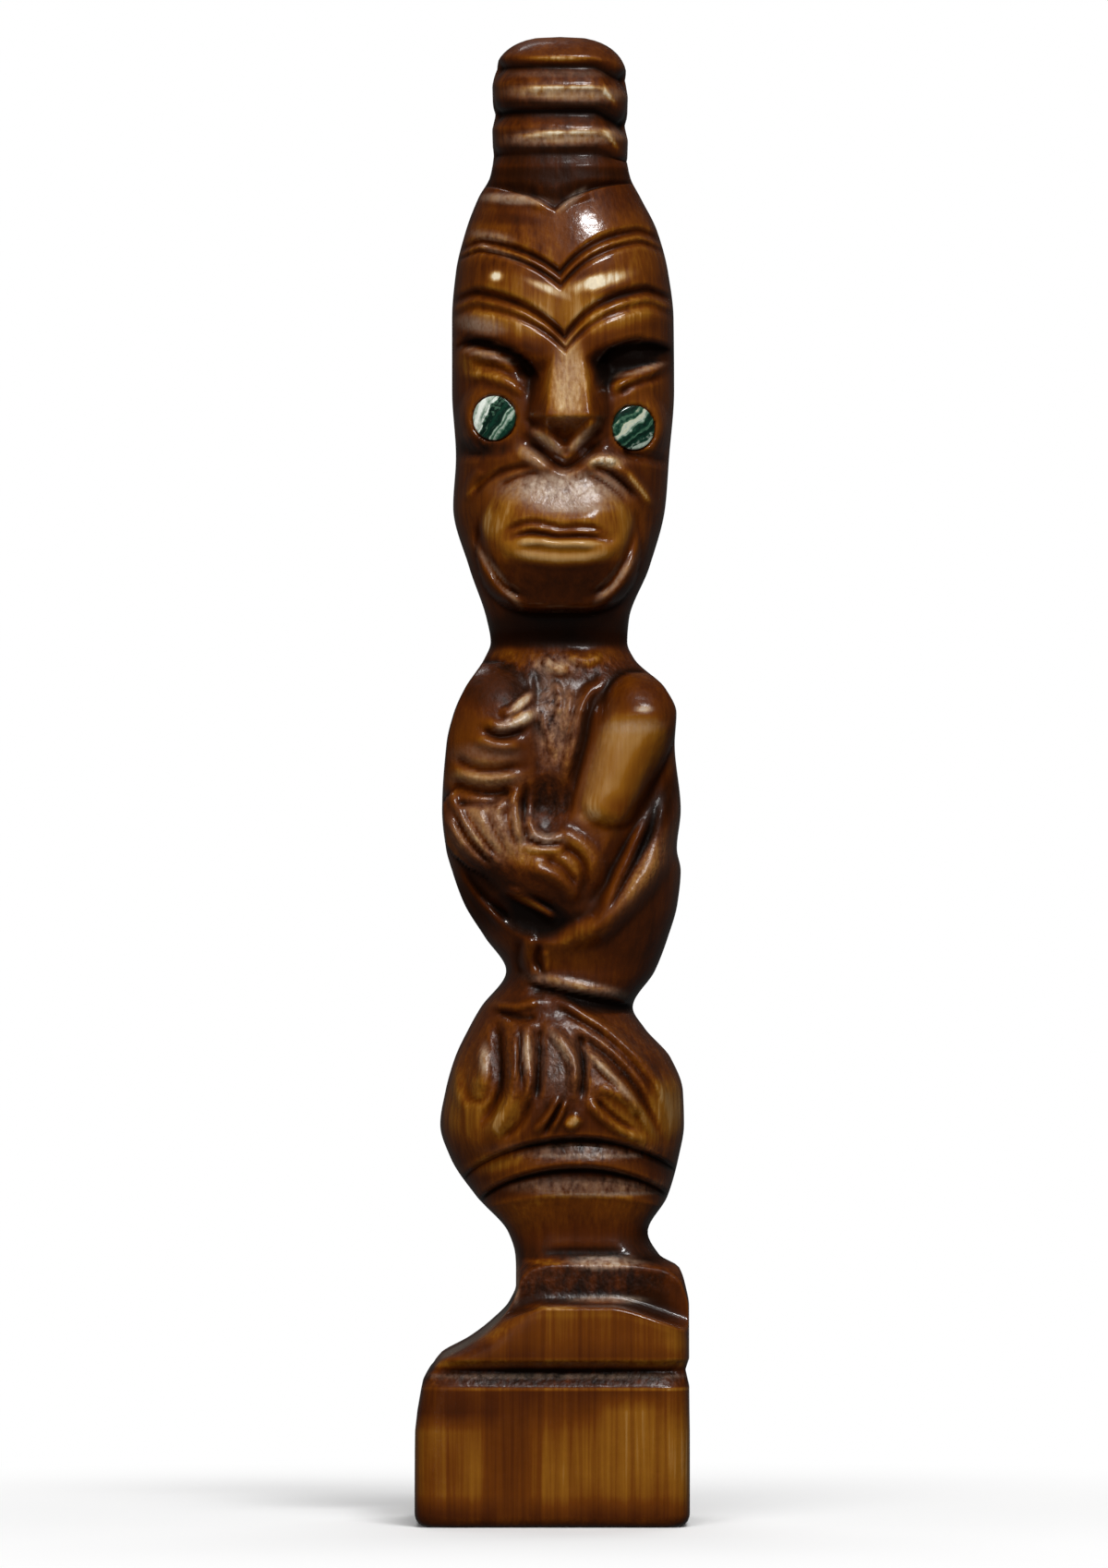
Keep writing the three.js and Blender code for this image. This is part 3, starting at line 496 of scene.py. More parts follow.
@dataclass(frozen=True)
class EyeSeat:
    """The flat facet of a cheek that a shell disc is let into."""

    name: str
    x: float
    z: float
    depth: float
    turn: float
    radius: float = 4.0
    pocket: float = 1.1
    fit: float = 0.16
    flat_ring: Span = (0.5, 3.6)
    wall: float = 0.12

    def facet(self, x: np.ndarray) -> np.ndarray:
        """The depth of the facet's plane."""
        return self.depth - math.tan(math.radians(self.turn)) * (x - self.x)

    def seat(self, depth: np.ndarray, x: np.ndarray, z: np.ndarray) -> np.ndarray:
        """Flattens the cheek round the disc and sinks its pocket.

        Args:
            depth: the depth at each place.
            x: places across.
            z: places up.

        Returns:
            The new depth: the facet's near the disc, blended into the cheek over a ring round it, less
            the pocket.
        """
        across = (x - self.x) / math.cos(math.radians(self.turn))
        away = np.hypot(across, z - self.z)
        inner, outer = self.flat_ring
        near = 1 - ease(self.radius + inner, self.radius + outer, away)
        flat = depth + (self.facet(x) - depth) * near
        edge = self.radius + self.fit
        return flat - self.pocket * (1 - ease(edge - self.wall, edge + self.wall, away))


class Hollow(NamedTuple):
    """An oval hollow: its middle, half sizes, tilt and depth."""

    x: float
    z: float
    long: float
    wide: float
    tilt: float
    depth: float
    power: float = 1.2

    def cut(self, x: np.ndarray, z: np.ndarray) -> np.ndarray:
        """The depth it takes, its own times (1 - distance squared) to the power."""
        across, up = oval(x, z, (self.x, self.z), (self.long, self.wide), self.tilt)
        return self.depth * clamp(1 - across * across - up * up) ** self.power


@dataclass(frozen=True)
class Nose:
    """The wedge of the nose."""

    x: float = 3.0
    top: float = 213.0
    tip: float = 200.0
    halves: Span = (2.4, 3.9)
    depths: Span = (17.2, 21.4)
    side_slope: float = 1.5
    under_slope: float = 1.4
    over_slope: float = 0.9

    def depth(self, x: np.ndarray, z: np.ndarray) -> np.ndarray:
        """The depth of the nose at each place.

        Args:
            x: places across.
            z: places up.

        Returns:
            The depth of its flat back, which widens and stands out more towards the tip, less a slope
            for each millimetre beside, under or over it.
        """
        down = clamp((self.top - z) / (self.top - self.tip))
        side = np.maximum(0, np.abs(x - self.x) - between(self.halves, down))
        under = np.maximum(0, self.tip - z)
        over = np.maximum(0, z - self.top)
        line = between(self.depths, down)
        return line - self.side_slope * side - self.under_slope * under - self.over_slope * over


@dataclass(frozen=True)
class Muzzle:
    """The full round muzzle, cut by a slope above the mouth and a bowed one below it."""

    x: float = 1.2
    z: float = 177.8
    wide: float = 15
    tall: float = 13.8
    back: float = 8.5
    rise: float = 13
    wide_power: float = 3.0
    tall_power: float = 2.4
    edge_depth: float = 20.6
    upper_edge: float = 182.6
    upper_slope: float = 0.55
    lower_edge: float = 173.4
    lower_slope: float = 0.65
    lower_bow: float = 0.03
    soft: float = 0.8

    def depth(self, x: np.ndarray, z: np.ndarray) -> np.ndarray:
        """The depth of the muzzle at each place.

        Args:
            x: places across.
            z: places up.

        Returns:
            The smallest of a rounded mass and the two slopes. The mass is its rim's depth plus the rise
            times the root of 1 - distance. One slope falls away above the upper edge and the other below
            the lower edge, which rises with the square of the distance from the middle.
        """
        across = np.abs(x - self.x) / self.wide
        up = np.abs(z - self.z) / self.tall
        far = across**self.wide_power + up**self.tall_power
        ball = np.where(far < 1, self.back + self.rise * np.sqrt(np.maximum(0, 1 - far)), 0)
        above = self.edge_depth - self.upper_slope * (z - self.upper_edge)
        edge = self.lower_edge + self.lower_bow * (x - self.x) ** 2
        below = self.edge_depth - self.lower_slope * (edge - z)
        return soft_min(soft_min(ball, above, self.soft), below, self.soft)


@dataclass(frozen=True)
class Face:
    """Eye hollows, nose, cheeks, muzzle and mouth."""

    brows: tuple[Stroke, ...] = (
        brow(
            Profile.RIGHT_STEP, 6.6, 3.9, (-19, 212.6), (-15.5, 214.6), (-12, 214.2), (-8.4, 213),
            (-5, 211.2), (-2.6, 208.2), (-1.6, 205), (-2, 201),
        ),
        brow(
            Profile.LEFT_STEP, 8.4, 4.2, (23, 212.6), (19.5, 213.6), (16, 214.1), (12.8, 213.5),
            (10, 212), (8, 209.4), (7.2, 206), (7.6, 201),
        ),
    )
    hollows: tuple[Hollow, ...] = (
        Hollow(-6.2, 209.4, 4.8, 2.4, -0.42, 1.3),
        Hollow(12.4, 209.6, 7.4, 3.8, 0.12, 2.4),
    )
    nose: Nose = Nose()
    muzzle: Muzzle = Muzzle()
    soft: float = 1.0
    cheek_from: Span = (192.0, 195.0)
    cheek_to: Span = (208.0, 211.0)
    cheek_depth: float = 1.2
    seats: tuple[EyeSeat, ...] = (
        EyeSeat("shell_eye_left", -10.4, 199.7, 14.4, -16),
        EyeSeat("shell_eye_right", 14.8, 198.0, 13.8, 20),
    )
    strokes: tuple[Stroke, ...] = (
        ridge(1.7, 1.7, (-4.2, 197.8), (-1.4, 196.6), (0.8, 195), (2.6, 193.2)),
        ridge(1.7, 1.7, (9.2, 199.2), (6.6, 197.4), (4.4, 195.4), (2.6, 193.2)),
        cut(
            1.5, 2.0, (-4.6, 195.8), (-2, 193.9), (0.3, 191.9), (2.6, 190.9), (4.9, 192), (7, 193.9),
            (9.4, 196),
        ),
        ridge(1.9, 0.7, (-6.4, 194.6), (-3.4, 192.2), (0.2, 190)),
        ridge(1.7, 0.7, (6, 190.6), (9, 192.2), (12.4, 192)),
        cut(
            1.0, 1.0, (-9.4, 178.4), (-7, 179.9), (-3.6, 180.8), (-0.5, 180.3), (2, 179.8), (5, 180),
            (8, 179.6), (11, 177.7),
        ),
        cut(
            0.9, 1.5, (-8.2, 177.9), (-4.4, 178.9), (-1.5, 178.7), (1, 178.2), (5, 178.3), (8, 178.1),
            (10.4, 177.4),
        ),
        ridge(1.2, 0.9, (-7.2, 176.9), (-3, 177.3), (0.8, 176.9), (4.6, 176.9), (9, 176.5)),
        ridge(
            1.8, 0.5, (-10, 179), (-7.4, 175.8), (-3.4, 174.4), (2, 173.9), (7, 174.3), (11, 176.2),
            (13.2, 179),
        ),
        cut(1.0, 0.9, (-14, 185.4), (-12.6, 187.8), (-10, 189.6), (-6.5, 190.7), (-3.4, 191)),
        cut(0.8, 0.6, (-9.4, 187.4), (-6, 189.1), (-2, 189.9)),
        cut(1.1, 1.2, (6.8, 191.2), (10, 190), (13, 187.7), (15.6, 184.8)),
        cut(0.8, 0.6, (5.5, 189.9), (9, 188.2), (11.6, 186.3), (13.8, 184)),
        ridge(1.3, 0.8, (-15.6, 184.6), (-14.4, 188.4), (-12.4, 190.6)),
        ridge(1.5, 0.9, (11, 191), (14, 189.4), (16.4, 186.6), (18.6, 183)),
        cut(1.5, 1.4, (12.4, 194), (16, 193), (22.4, 191.6)),
        cut(1.6, 0.9, (-18.6, 192.6), (-15, 193.4), (-11.6, 193.2)),
        cut(1.2, 1.1, (-13.4, 181.4), (-12.7, 177), (-10.8, 172.8), (-8, 169.2), (-4.4, 167.4)),
        ridge(1.6, 1.3, (-14.8, 180), (-14, 175.4), (-12, 171.2), (-9, 168), (-5, 166)),
        cut(1.2, 1.1, (15.1, 182), (14.2, 177), (12.4, 172.8), (9.8, 169.4), (6.6, 167.6)),
        ridge(2.3, 1.5, (17.2, 182), (16.2, 176), (14.2, 171.4), (11.6, 168.2), (7.6, 166)),
        ridge(1.2, 0.9, (-17.4, 211.8), (-13.5, 211.6), (-9.4, 210.2), (-5.4, 207.6)),
        cut(0.8, 0.8, (-15, 210), (-10.4, 209), (-6, 206.6)),
        ridge(1.3, 0.8, (-16, 207.8), (-12, 207.4), (-8.4, 206.2), (-4.4, 203.8)),
        ridge(1.3, 1.1, (10.4, 204.4), (13.4, 206.6), (17, 208.2), (21, 209.2)),
        cut(0.9, 0.8, (12, 204), (15, 205.8), (20.6, 207.4)),
    )

    def carve(self, depth: np.ndarray, x: np.ndarray, z: np.ndarray) -> np.ndarray:
        """Carves the face in.

        Args:
            depth: the plain depth at each place.
            x: places across.
            z: places up.

        Returns:
            The new depth.
        """
        made = depth - self.cheek_depth * window(self.cheek_from, self.cheek_to, z)
        made = made + all_strokes(self.brows, x, z) - sum(h.cut(x, z) for h in self.hollows)
        made = soft_max(made, self.nose.depth(x, z), self.soft)
        for seat in self.seats:
            made = seat.seat(made, x, z)
        made = soft_max(made, self.muzzle.depth(x, z), self.soft)
        return made + all_strokes(self.strokes, x, z)


@dataclass(frozen=True)
class Club:
    """The club held against the chest, a flattened rounded bar from the shoulder down to the hand."""

    top: Span = (15.6, 146.0)
    end: Span = (8.2, 125.4)
    halves: Span = (7.8, 6.2)
    back: float = 9.5
    rise: float = 10.6
    tip: float = 4.4
    overrun: float = 1.0
    power: float = 2.4

    def depth(self, x: np.ndarray, z: np.ndarray) -> np.ndarray:
        """The depth of the club at each place.

        Args:
            x: places across.
            z: places up.

        Returns:
            The depth of its edge plus the rise times the root of 1 - distance, and 0 outside it. The
            distance is the place across the bar over its half width there, to the power, plus the
            square of the place past either rounded end.
        """
        dx = self.end[0] - self.top[0]
        dz = self.end[1] - self.top[1]
        length = math.hypot(dx, dz)
        along = ((x - self.top[0]) * dx + (z - self.top[1]) * dz) / length
        across = ((x - self.top[0]) * dz - (z - self.top[1]) * dx) / length
        half = between(self.halves, clamp(along / length))
        beyond = np.maximum(0, along - length + self.tip) / (self.tip + self.overrun)
        past = np.where(along < 0, along / half, beyond)
        far = (np.abs(across) / half) ** self.power + past * past
        inside = self.back + self.rise * np.sqrt(np.maximum(0, 1 - far))
        return np.where(far < 1, inside, 0)


@dataclass(frozen=True)
class Chest:
    """The sunk strip of chest between shoulder and club."""

    left: float = -3.3
    rights: Span = (2.8, 8.6)
    span: Span = (128.5, 152.0)
    sunk: float = 0.8
    left_blend: float = 0.9
    right_blend: float = 1.2
    foot_blend: float = 1.0
    top_blend: float = 3.0

    def cut(self, x: np.ndarray, z: np.ndarray) -> np.ndarray:
        """The depth that the strip takes at each place.

        Args:
            x: places across.
            z: places up.

        Returns:
            The depth, which fades out over a blend at each of the four edges.
        """
        low, high = self.span
        right = between(self.rights, clamp((z - low) / (high - low)))
        inside = ease(self.left - self.left_blend, self.left + self.left_blend, x)
        inside = inside * (1 - ease(-self.right_blend, self.right_blend, x - right))
        over_foot = ease(low - self.foot_blend, low + self.foot_blend, z)
        return self.sunk * inside * over_foot * (1 - ease(high, high + self.top_blend, z))


@dataclass(frozen=True)
class Torso:
    """Shoulder, club, hands, chest and belly."""

    masses: tuple[Mass, ...] = (
        Mass(-10.4, 140, 10.5, 15.8, 6, 12.4, 0, 2.2, 0.5),
        Mass(-9.6, 124.8, 11.4, 8, 14.4, 5.2, -0.5, 2.2, 0.8),
        Mass(-1.4, 118.8, 12, 7.2, 14.2, 6.4, -0.28, 2.2, 0.75),
    )
    under_palm: Hollow = Hollow(-3.4, 109.8, 8.4, 4.2, -0.35, 2.6)
    club: Club = Club()
    chest: Chest = Chest()
    mass_soft: float = 1.6
    club_soft: float = 0.9
    pit: Hollow = Hollow(-0.4, 130.2, 4.6, 5.6, 0, 1.9)
    ledge: Step = Step(96.5, 1.7, 4.2, 1.1)
    ledge_x: float = 5.0
    ledge_slope: float = 0.22
    ledge_from: Span = (-5.4, -1.4)
    ledge_to: Span = (13.0, 19.0)
    strokes: tuple[Stroke, ...] = (
        ridge(
            3.4, 2.3, (22.4, 134), (21, 126), (18.7, 119.6), (15.6, 115), (11.8, 111), (7.4, 107.4),
            (0, 105.4),
        ),
        ridge(1.5, 1.4, (17.2, 128), (13.9, 121), (11.6, 116.2), (8.8, 110.8)),
        cut(1.0, 0.7, (19.2, 128), (15.7, 120.4), (13, 115.4), (10, 110.6)),
        cut(3.0, 1.7, (21.4, 140), (17.4, 130.4), (13.4, 123.2), (9.8, 117), (5.4, 110.4)),
        ridge(1.6, 1.1, (10.6, 153.2), (6.8, 150.4), (5.2, 147), (4.2, 142), (3.1, 138), (2.2, 134.4)),
        cut(1.9, 1.4, (10.4, 151), (7.4, 147), (6.3, 142), (5, 137), (3.9, 132), (3.2, 126.6)),
        ridge(1.7, 1.3, (-12.4, 145.2), (-9.2, 144), (-6, 144.8), (-3, 147)),
        ridge(1.6, 1.2, (-9.4, 145.9), (-7.2, 146.8), (-5.4, 148.2), (-3.4, 150.4)),
        ridge(1.6, 0.2, (9.6, 144.8), (14, 146), (19.6, 145.4)),
        ridge(1.2, 0.6, (-1.8, 99.2), (2, 98.1), (7, 96.9), (13, 95.6)),
        ridge(1.3, 0.4, (-13.6, 129.2), (-11.4, 124.8), (-8.8, 120.4)),
        ridge(1.4, 0.35, (-10.6, 129.6), (-9, 125.4), (-7, 121.2)),
        cut(0.7, 0.25, (-12.2, 129.4), (-10.2, 125), (-7.8, 120.8)),
        ridge(1.3, 0.8, (-1.8, 156.6), (0.6, 154.6), (3.4, 154.4)),
        ridge(1.5, 0.9, (2.6, 156.8), (6, 156), (9.4, 156.8)),
        ridge(1.1, 0.6, (0.4, 152.4), (1.6, 149), (1, 145.6)),
        ridge(1.1, 0.6, (3.4, 151), (3, 146.6), (1.8, 142.6)),
        ridge(1.0, 0.5, (-1.8, 147), (-0.8, 142.6), (0.4, 138.8)),
        cut(1.2, 0.9, (-12.6, 143.8), (-9, 142.4), (-4.4, 143.4)),
        ridge(1.4, 0.9, (-14, 142), (-10, 140.6), (-5.4, 140.6)),
        cut(1.4, 1.1, (-18, 138.8), (-14.4, 136.8), (-10.6, 136.2), (-4.8, 137)),
        ridge(1.4, 0.9, (-18, 135.8), (-12, 134.6), (-5.6, 135.3)),
        cut(1.3, 1.1, (-18.4, 134.4), (-15, 132.9), (-11, 132), (-6.6, 133)),
        cut(1.0, 1.0, (-17.8, 130.4), (-13.5, 130.1), (-9.2, 130.5)),
        ridge(1.4, 1.3, (-18.6, 133.6), (-17.6, 130), (-14.8, 125.4), (-11.6, 121.2), (-8.8, 118.2)),
        ridge(1.5, 1.4, (-19.2, 128.6), (-17, 124), (-14, 120.6), (-10, 117.8)),
        cut(0.9, 1.0, (-18.4, 131), (-15.8, 125.4), (-12.6, 121.2), (-10, 118.6)),
        cut(0.8, 0.8, (-16.4, 129.4), (-13.4, 124.6), (-10, 120.6)),
        ridge(1.2, 1.0, (-17.6, 119), (-14.6, 114.6), (-12, 111.4), (-8, 107.6)),
        cut(1.2, 0.9, (-16.4, 118.8), (-13.6, 115), (-10.6, 112), (-7, 109)),
        cut(1.2, 1.3, (-4.2, 134.6), (-4.9, 130.4), (-4.9, 127), (-4, 124)),
        ridge(1.4, 1.3, (-6.6, 133.4), (-6.5, 128), (-5.4, 122.6)),
        ridge(1.5, 1.3, (-5, 128.4), (-3.4, 125), (-0.6, 123.6), (2.2, 124.6)),
        ridge(1.1, 0.8, (-5.4, 122.3), (-1, 121.9), (2.8, 122.2)),
        cut(0.8, 0.8, (-4.6, 123.6), (-1.4, 122.9), (1.6, 123.2)),
        ridge(1.6, 0.8, (-10.6, 129), (-6.6, 131.4)),
        ridge(2.2, 1.2, (0.6, 125.2), (3.8, 123.8), (6.8, 121.2), (8.3, 117.6), (7.6, 112.6)),
        cut(1.2, 1.0, (0.6, 122.6), (4.2, 121.2), (5.8, 118.2), (5.4, 113.4)),
        ridge(2.0, 1.1, (-4.6, 119), (-0.6, 117.6), (2.6, 115.4), (4.2, 111.6)),
        cut(1.2, 1.0, (-1.4, 120.4), (1.8, 118.8), (4.6, 115)),
        ridge(1.4, 1.4, (-8.8, 115), (-5, 113.2), (-1.6, 111), (0.8, 109.2)),
        ridge(1.6, 1.2, (-3.8, 106.6), (-4.3, 101.6), (-2.4, 98.8)),
        cut(1.0, 0.6, (-6, 106), (-6.3, 102), (-5.4, 98.6)),
        cut(0.9, 0.5, (-2, 105), (-2.5, 102), (-1.4, 99.4)),
        ridge(1.1, 0.7, (-1.4, 104), (-1, 101.4), (-1.2, 99.6)),
    )

    def carve(self, depth: np.ndarray, x: np.ndarray, z: np.ndarray) -> np.ndarray:
        """Carves the body's masses, club and lines in.

        Args:
            depth: the plain depth at each place.
            x: places across.
            z: places up.

        Returns:
            The new depth.
        """
        made = depth
        for mass in self.masses:
            made = soft_max(made, mass.depth(x, z), self.mass_soft)
        made = made - self.under_palm.cut(x, z) - self.chest.cut(x, z) - self.pit.cut(x, z)
        made = soft_max(made, self.club.depth(x, z), self.club_soft)
        edge = self.ledge.level - self.ledge_slope * (x - self.ledge_x)
        made = made - window(self.ledge_from, self.ledge_to, x) * self.ledge.cut(edge - z)
        return made + all_strokes(self.strokes, x, z)


@dataclass(frozen=True)
class Legs:
    """The crouched legs with their spirals, and the hem over the ankles."""

    x: float = 5.0
    left_bow: float = 0.0125
    right_bow: float = 0.017
    bent_from: Span = (53.0, 65.0)
    bent_to: Span = (71.0, 87.0)
    hem_span: Span = (54.0, 78.0)
    cuts: tuple[LevelCut, ...] = (LevelCut(69.6, 0.6, 4.2, 2.4), LevelCut(64.1, 0.7, 4.4, 2.7))
    step: Step = Step(59.3, 0.1, 4)
    strokes: tuple[Stroke, ...] = (
        ridge(
            1.3, 1.2, (-0.8, 95.5), (2.4, 94.2), (5.4, 92.4), (9.4, 90), (14.2, 86), (17.6, 82),
            (19.8, 78.4), (21.2, 74),
        ),
        cut(0.8, 0.7, (1.6, 92.8), (5, 91), (9, 88.4), (13.4, 84.4), (17, 80), (19.2, 75.6)),
        cut(1.3, 1.6, (2.8, 89.2), (8, 86.2), (12, 82.8), (15, 79.2), (17, 75.4), (20, 69.4)),
        ridge(1.2, 1.4, (6.4, 85.8), (9, 83), (12, 80), (14.8, 76.8), (16.8, 73.6), (19.2, 68.6)),
        ridge(1.8, 1.7, (0, 89.8), (2, 87.2), (3.6, 84.8), (4.3, 82), (3.9, 78)),
        cut(1.2, 1.6, (-2.2, 90.6), (-2.2, 84), (-2.7, 76.6)),
        cut(1.3, 1.7, (4.8, 89), (5.6, 83), (5.4, 76.6)),
        ridge(1.5, 1.4, (-4.4, 91.4), (-4.5, 85.6), (-3.9, 80.2), (-4.6, 75.4)),
        ridge(0.9, 0.7, (-6.6, 89), (-6.5, 84), (-6.9, 79.6)),
        cut(0.7, 0.8, (-5.5, 89.4), (-5.6, 84), (-5.4, 79.6)),
        cut(1.7, 2.1, (-10.2, 92.2), (-9.3, 86), (-9.1, 80.4), (-10.2, 76.2), (-13.2, 71)),
        ridge(2.6, 1.5, (-7.5, 90), (-7.3, 84), (-6.9, 79.4), (-8.4, 74.6), (-12.4, 69.2)),
        cut(1.0, 0.9, (-3.4, 80.4), (-4.2, 75.6), (-6.2, 72), (-9, 69.7)),
        cut(
            0.9, 0.6, (-13.6, 87), (-15.6, 81.4), (-14.8, 77.4), (-12.4, 76.7), (-10.9, 79.6), (-11, 84),
            (-12.4, 87.6),
        ),
        ridge(1.8, 1.1, (-12.6, 86.2), (-12.3, 82), (-13.1, 78.4)),
        ridge(1.1, 0.9, (-17.2, 84), (-17.4, 79), (-15.4, 74.4)),
        cut(1.1, 1.1, (-10.2, 92.8), (-6, 91.6), (-2.4, 91.6)),
        ridge(1.2, 0.9, (-11.2, 93.9), (-6.4, 93.6), (-2, 94.5)),
        ridge(1.2, 1.1, (-3.4, 70.6), (-0.6, 74), (1.4, 77.6)),
        ridge(0.9, 0.9, (0, 71.2), (1.4, 73.8), (2.6, 77)),
        cut(0.7, 0.8, (-1.4, 70.6), (0.4, 73.8), (2, 77)),
        ridge(1.5, 1.2, (6.2, 77.2), (9.2, 73.8), (12.6, 71.4), (17.8, 68.8)),
        cut(0.9, 1.1, (7.6, 77.2), (11, 73.8), (15.4, 70.7)),
        ridge(1.5, 1.1, (8, 79.6), (13, 77.2), (16, 73.8)),
        ridge(1.7, 1.2, (2.6, 71.4), (5, 74)),
    )

    def lift(self, x: np.ndarray, level: np.ndarray) -> np.ndarray:
        """The drop of the levels away from the middle of the hem, by the square of the distance."""
        bow = np.where(x < self.x, self.left_bow, self.right_bow)
        return -bow * (x - self.x) ** 2 * window(self.bent_from, self.bent_to, level)

    def carve(self, depth: np.ndarray, x: np.ndarray, z: np.ndarray, level: np.ndarray) -> np.ndarray:
        """The depth with the legs' lines and the hem carved in."""
        return depth - self.hem(level) + all_strokes(self.strokes, x, z)

    def hem(self, level: np.ndarray) -> np.ndarray:
        """The depth that the hem's tiles take at each level."""
        tiles = level_cuts(self.cuts, level) + self.step.cut(self.step.level - level)
        return np.where(within(self.hem_span, level), tiles, 0)


@dataclass(frozen=True)
class Block:
    """The block, its groove and arched panel, and the hollow that rises to the ankles."""

    groove: Groove = Groove(28.2, 2, 3, 2.8, 0.8, (0.86, 0.99))
    depth: float = 24.75
    arch_top: float = 39.6
    left_from: float = -1.6
    left_drop: float = 0.33
    left_power: float = 1.22
    right_from: float = 11.0
    right_drop: float = 0.116
    right_power: float = 1.4
    cove_height: float = 3.4
    cove_depth: float = 17.4
    cove_power: float = 3.0
    shelf: float = 48.0
    shelf_under: float = 1.2
    shelf_over: float = 1.4
    ankle: float = 14.2
    flare: float = 0.5
    flare_from: float = 50.0
    bent_from: float = 30.6
    bent_over: float = 2.0
    bent_to: float = 52.0
    top: float = 60.0
    soft: float = 0.3

    def lift(self, x: np.ndarray, level: np.ndarray) -> np.ndarray:
        """The drop of the levels that bends them to the arch of the panel.

        Args:
            x: places across.
            level: the level at each place.

        Returns:
            The lift, below 0: on each side, the drop times the distance past where the arch starts to
            fall, to that side's power. It grows up to the arch and fades out over it.
        """
        left = np.maximum(0, self.left_from - x)
        right = np.maximum(0, x - self.right_from)
        drop = self.left_drop * left**self.left_power + self.right_drop * right**self.right_power
        fading = 1 - ease(self.arch_top + self.bent_over, self.bent_to, level)
        return -drop * ease(self.bent_from, self.arch_top, level) * fading

    def carve(self, depth: np.ndarray, level: np.ndarray) -> np.ndarray:
        """Keeps the depth behind the panel, the round hollow above it and the shelf at the ankles.

        Args:
            depth: the plain depth at each place.
            level: the level at each place.

        Returns:
            The new depth. The hollow runs back from the panel's top on a quarter of a superellipse.
        """
        climb = clamp((level - self.arch_top) / self.cove_height)
        n = self.cove_power
        share = 1 - (1 - (1 - climb) ** n) ** (1 / n)
        cove = self.cove_depth + (self.depth - self.cove_depth) * share
        over = ease(self.shelf - self.shelf_under, self.shelf + self.shelf_over, level)
        flare = self.flare * np.maximum(0, level - self.flare_from)
        cove = cove - (self.cove_depth - self.ankle) * over + flare
        limit = np.where(level > self.arch_top, cove, self.depth)
        return np.where(level < self.top, soft_min(depth, limit, self.soft), depth)


class Patch(NamedTuple):
    """A tilted oval place on the front that differs from the rest: its middle, half sizes and tone.

    For the stain, with its painted highlights and painted shade, the tone is how light it is, and for the
    lacquer how strongly the place has its look.
    """

    x: float
    z: float
    wide: float
    tall: float
    tone: float
    tilt: float = 0.0

    def pull(self, tone: np.ndarray, x: np.ndarray, z: np.ndarray, share: np.ndarray) -> np.ndarray:
        """Draws a tone towards this patch's own.

        Args:
            tone: the tone so far at each place.
            x: places across.
            z: places up.
            share: how much the patch counts at each place.

        Returns:
            The new tone, fully this one's in the middle and by exp(-distance to the fourth) around it.
        """
        across, up = oval(x, z, (self.x, self.z), (self.wide, self.tall), self.tilt)
        weight = share * np.exp(-((across * across + up * up) ** 2))
        return tone + (self.tone - tone) * weight


def patch_rows(*rows: tuple[float, ...]) -> tuple[Patch, ...]:
    """A patch for each row: its middle across and up, half sizes, tone and, where it has one, tilt."""
    return tuple(Patch(*row) for row in rows)


def across_rows(*rows: tuple[float, float, float]) -> tuple[Patch, ...]:
    """A patch that runs right across for each row: its height, half height and tone."""
    return tuple(Patch(0, z, ACROSS, tall, tone) for z, tall, tone in rows)


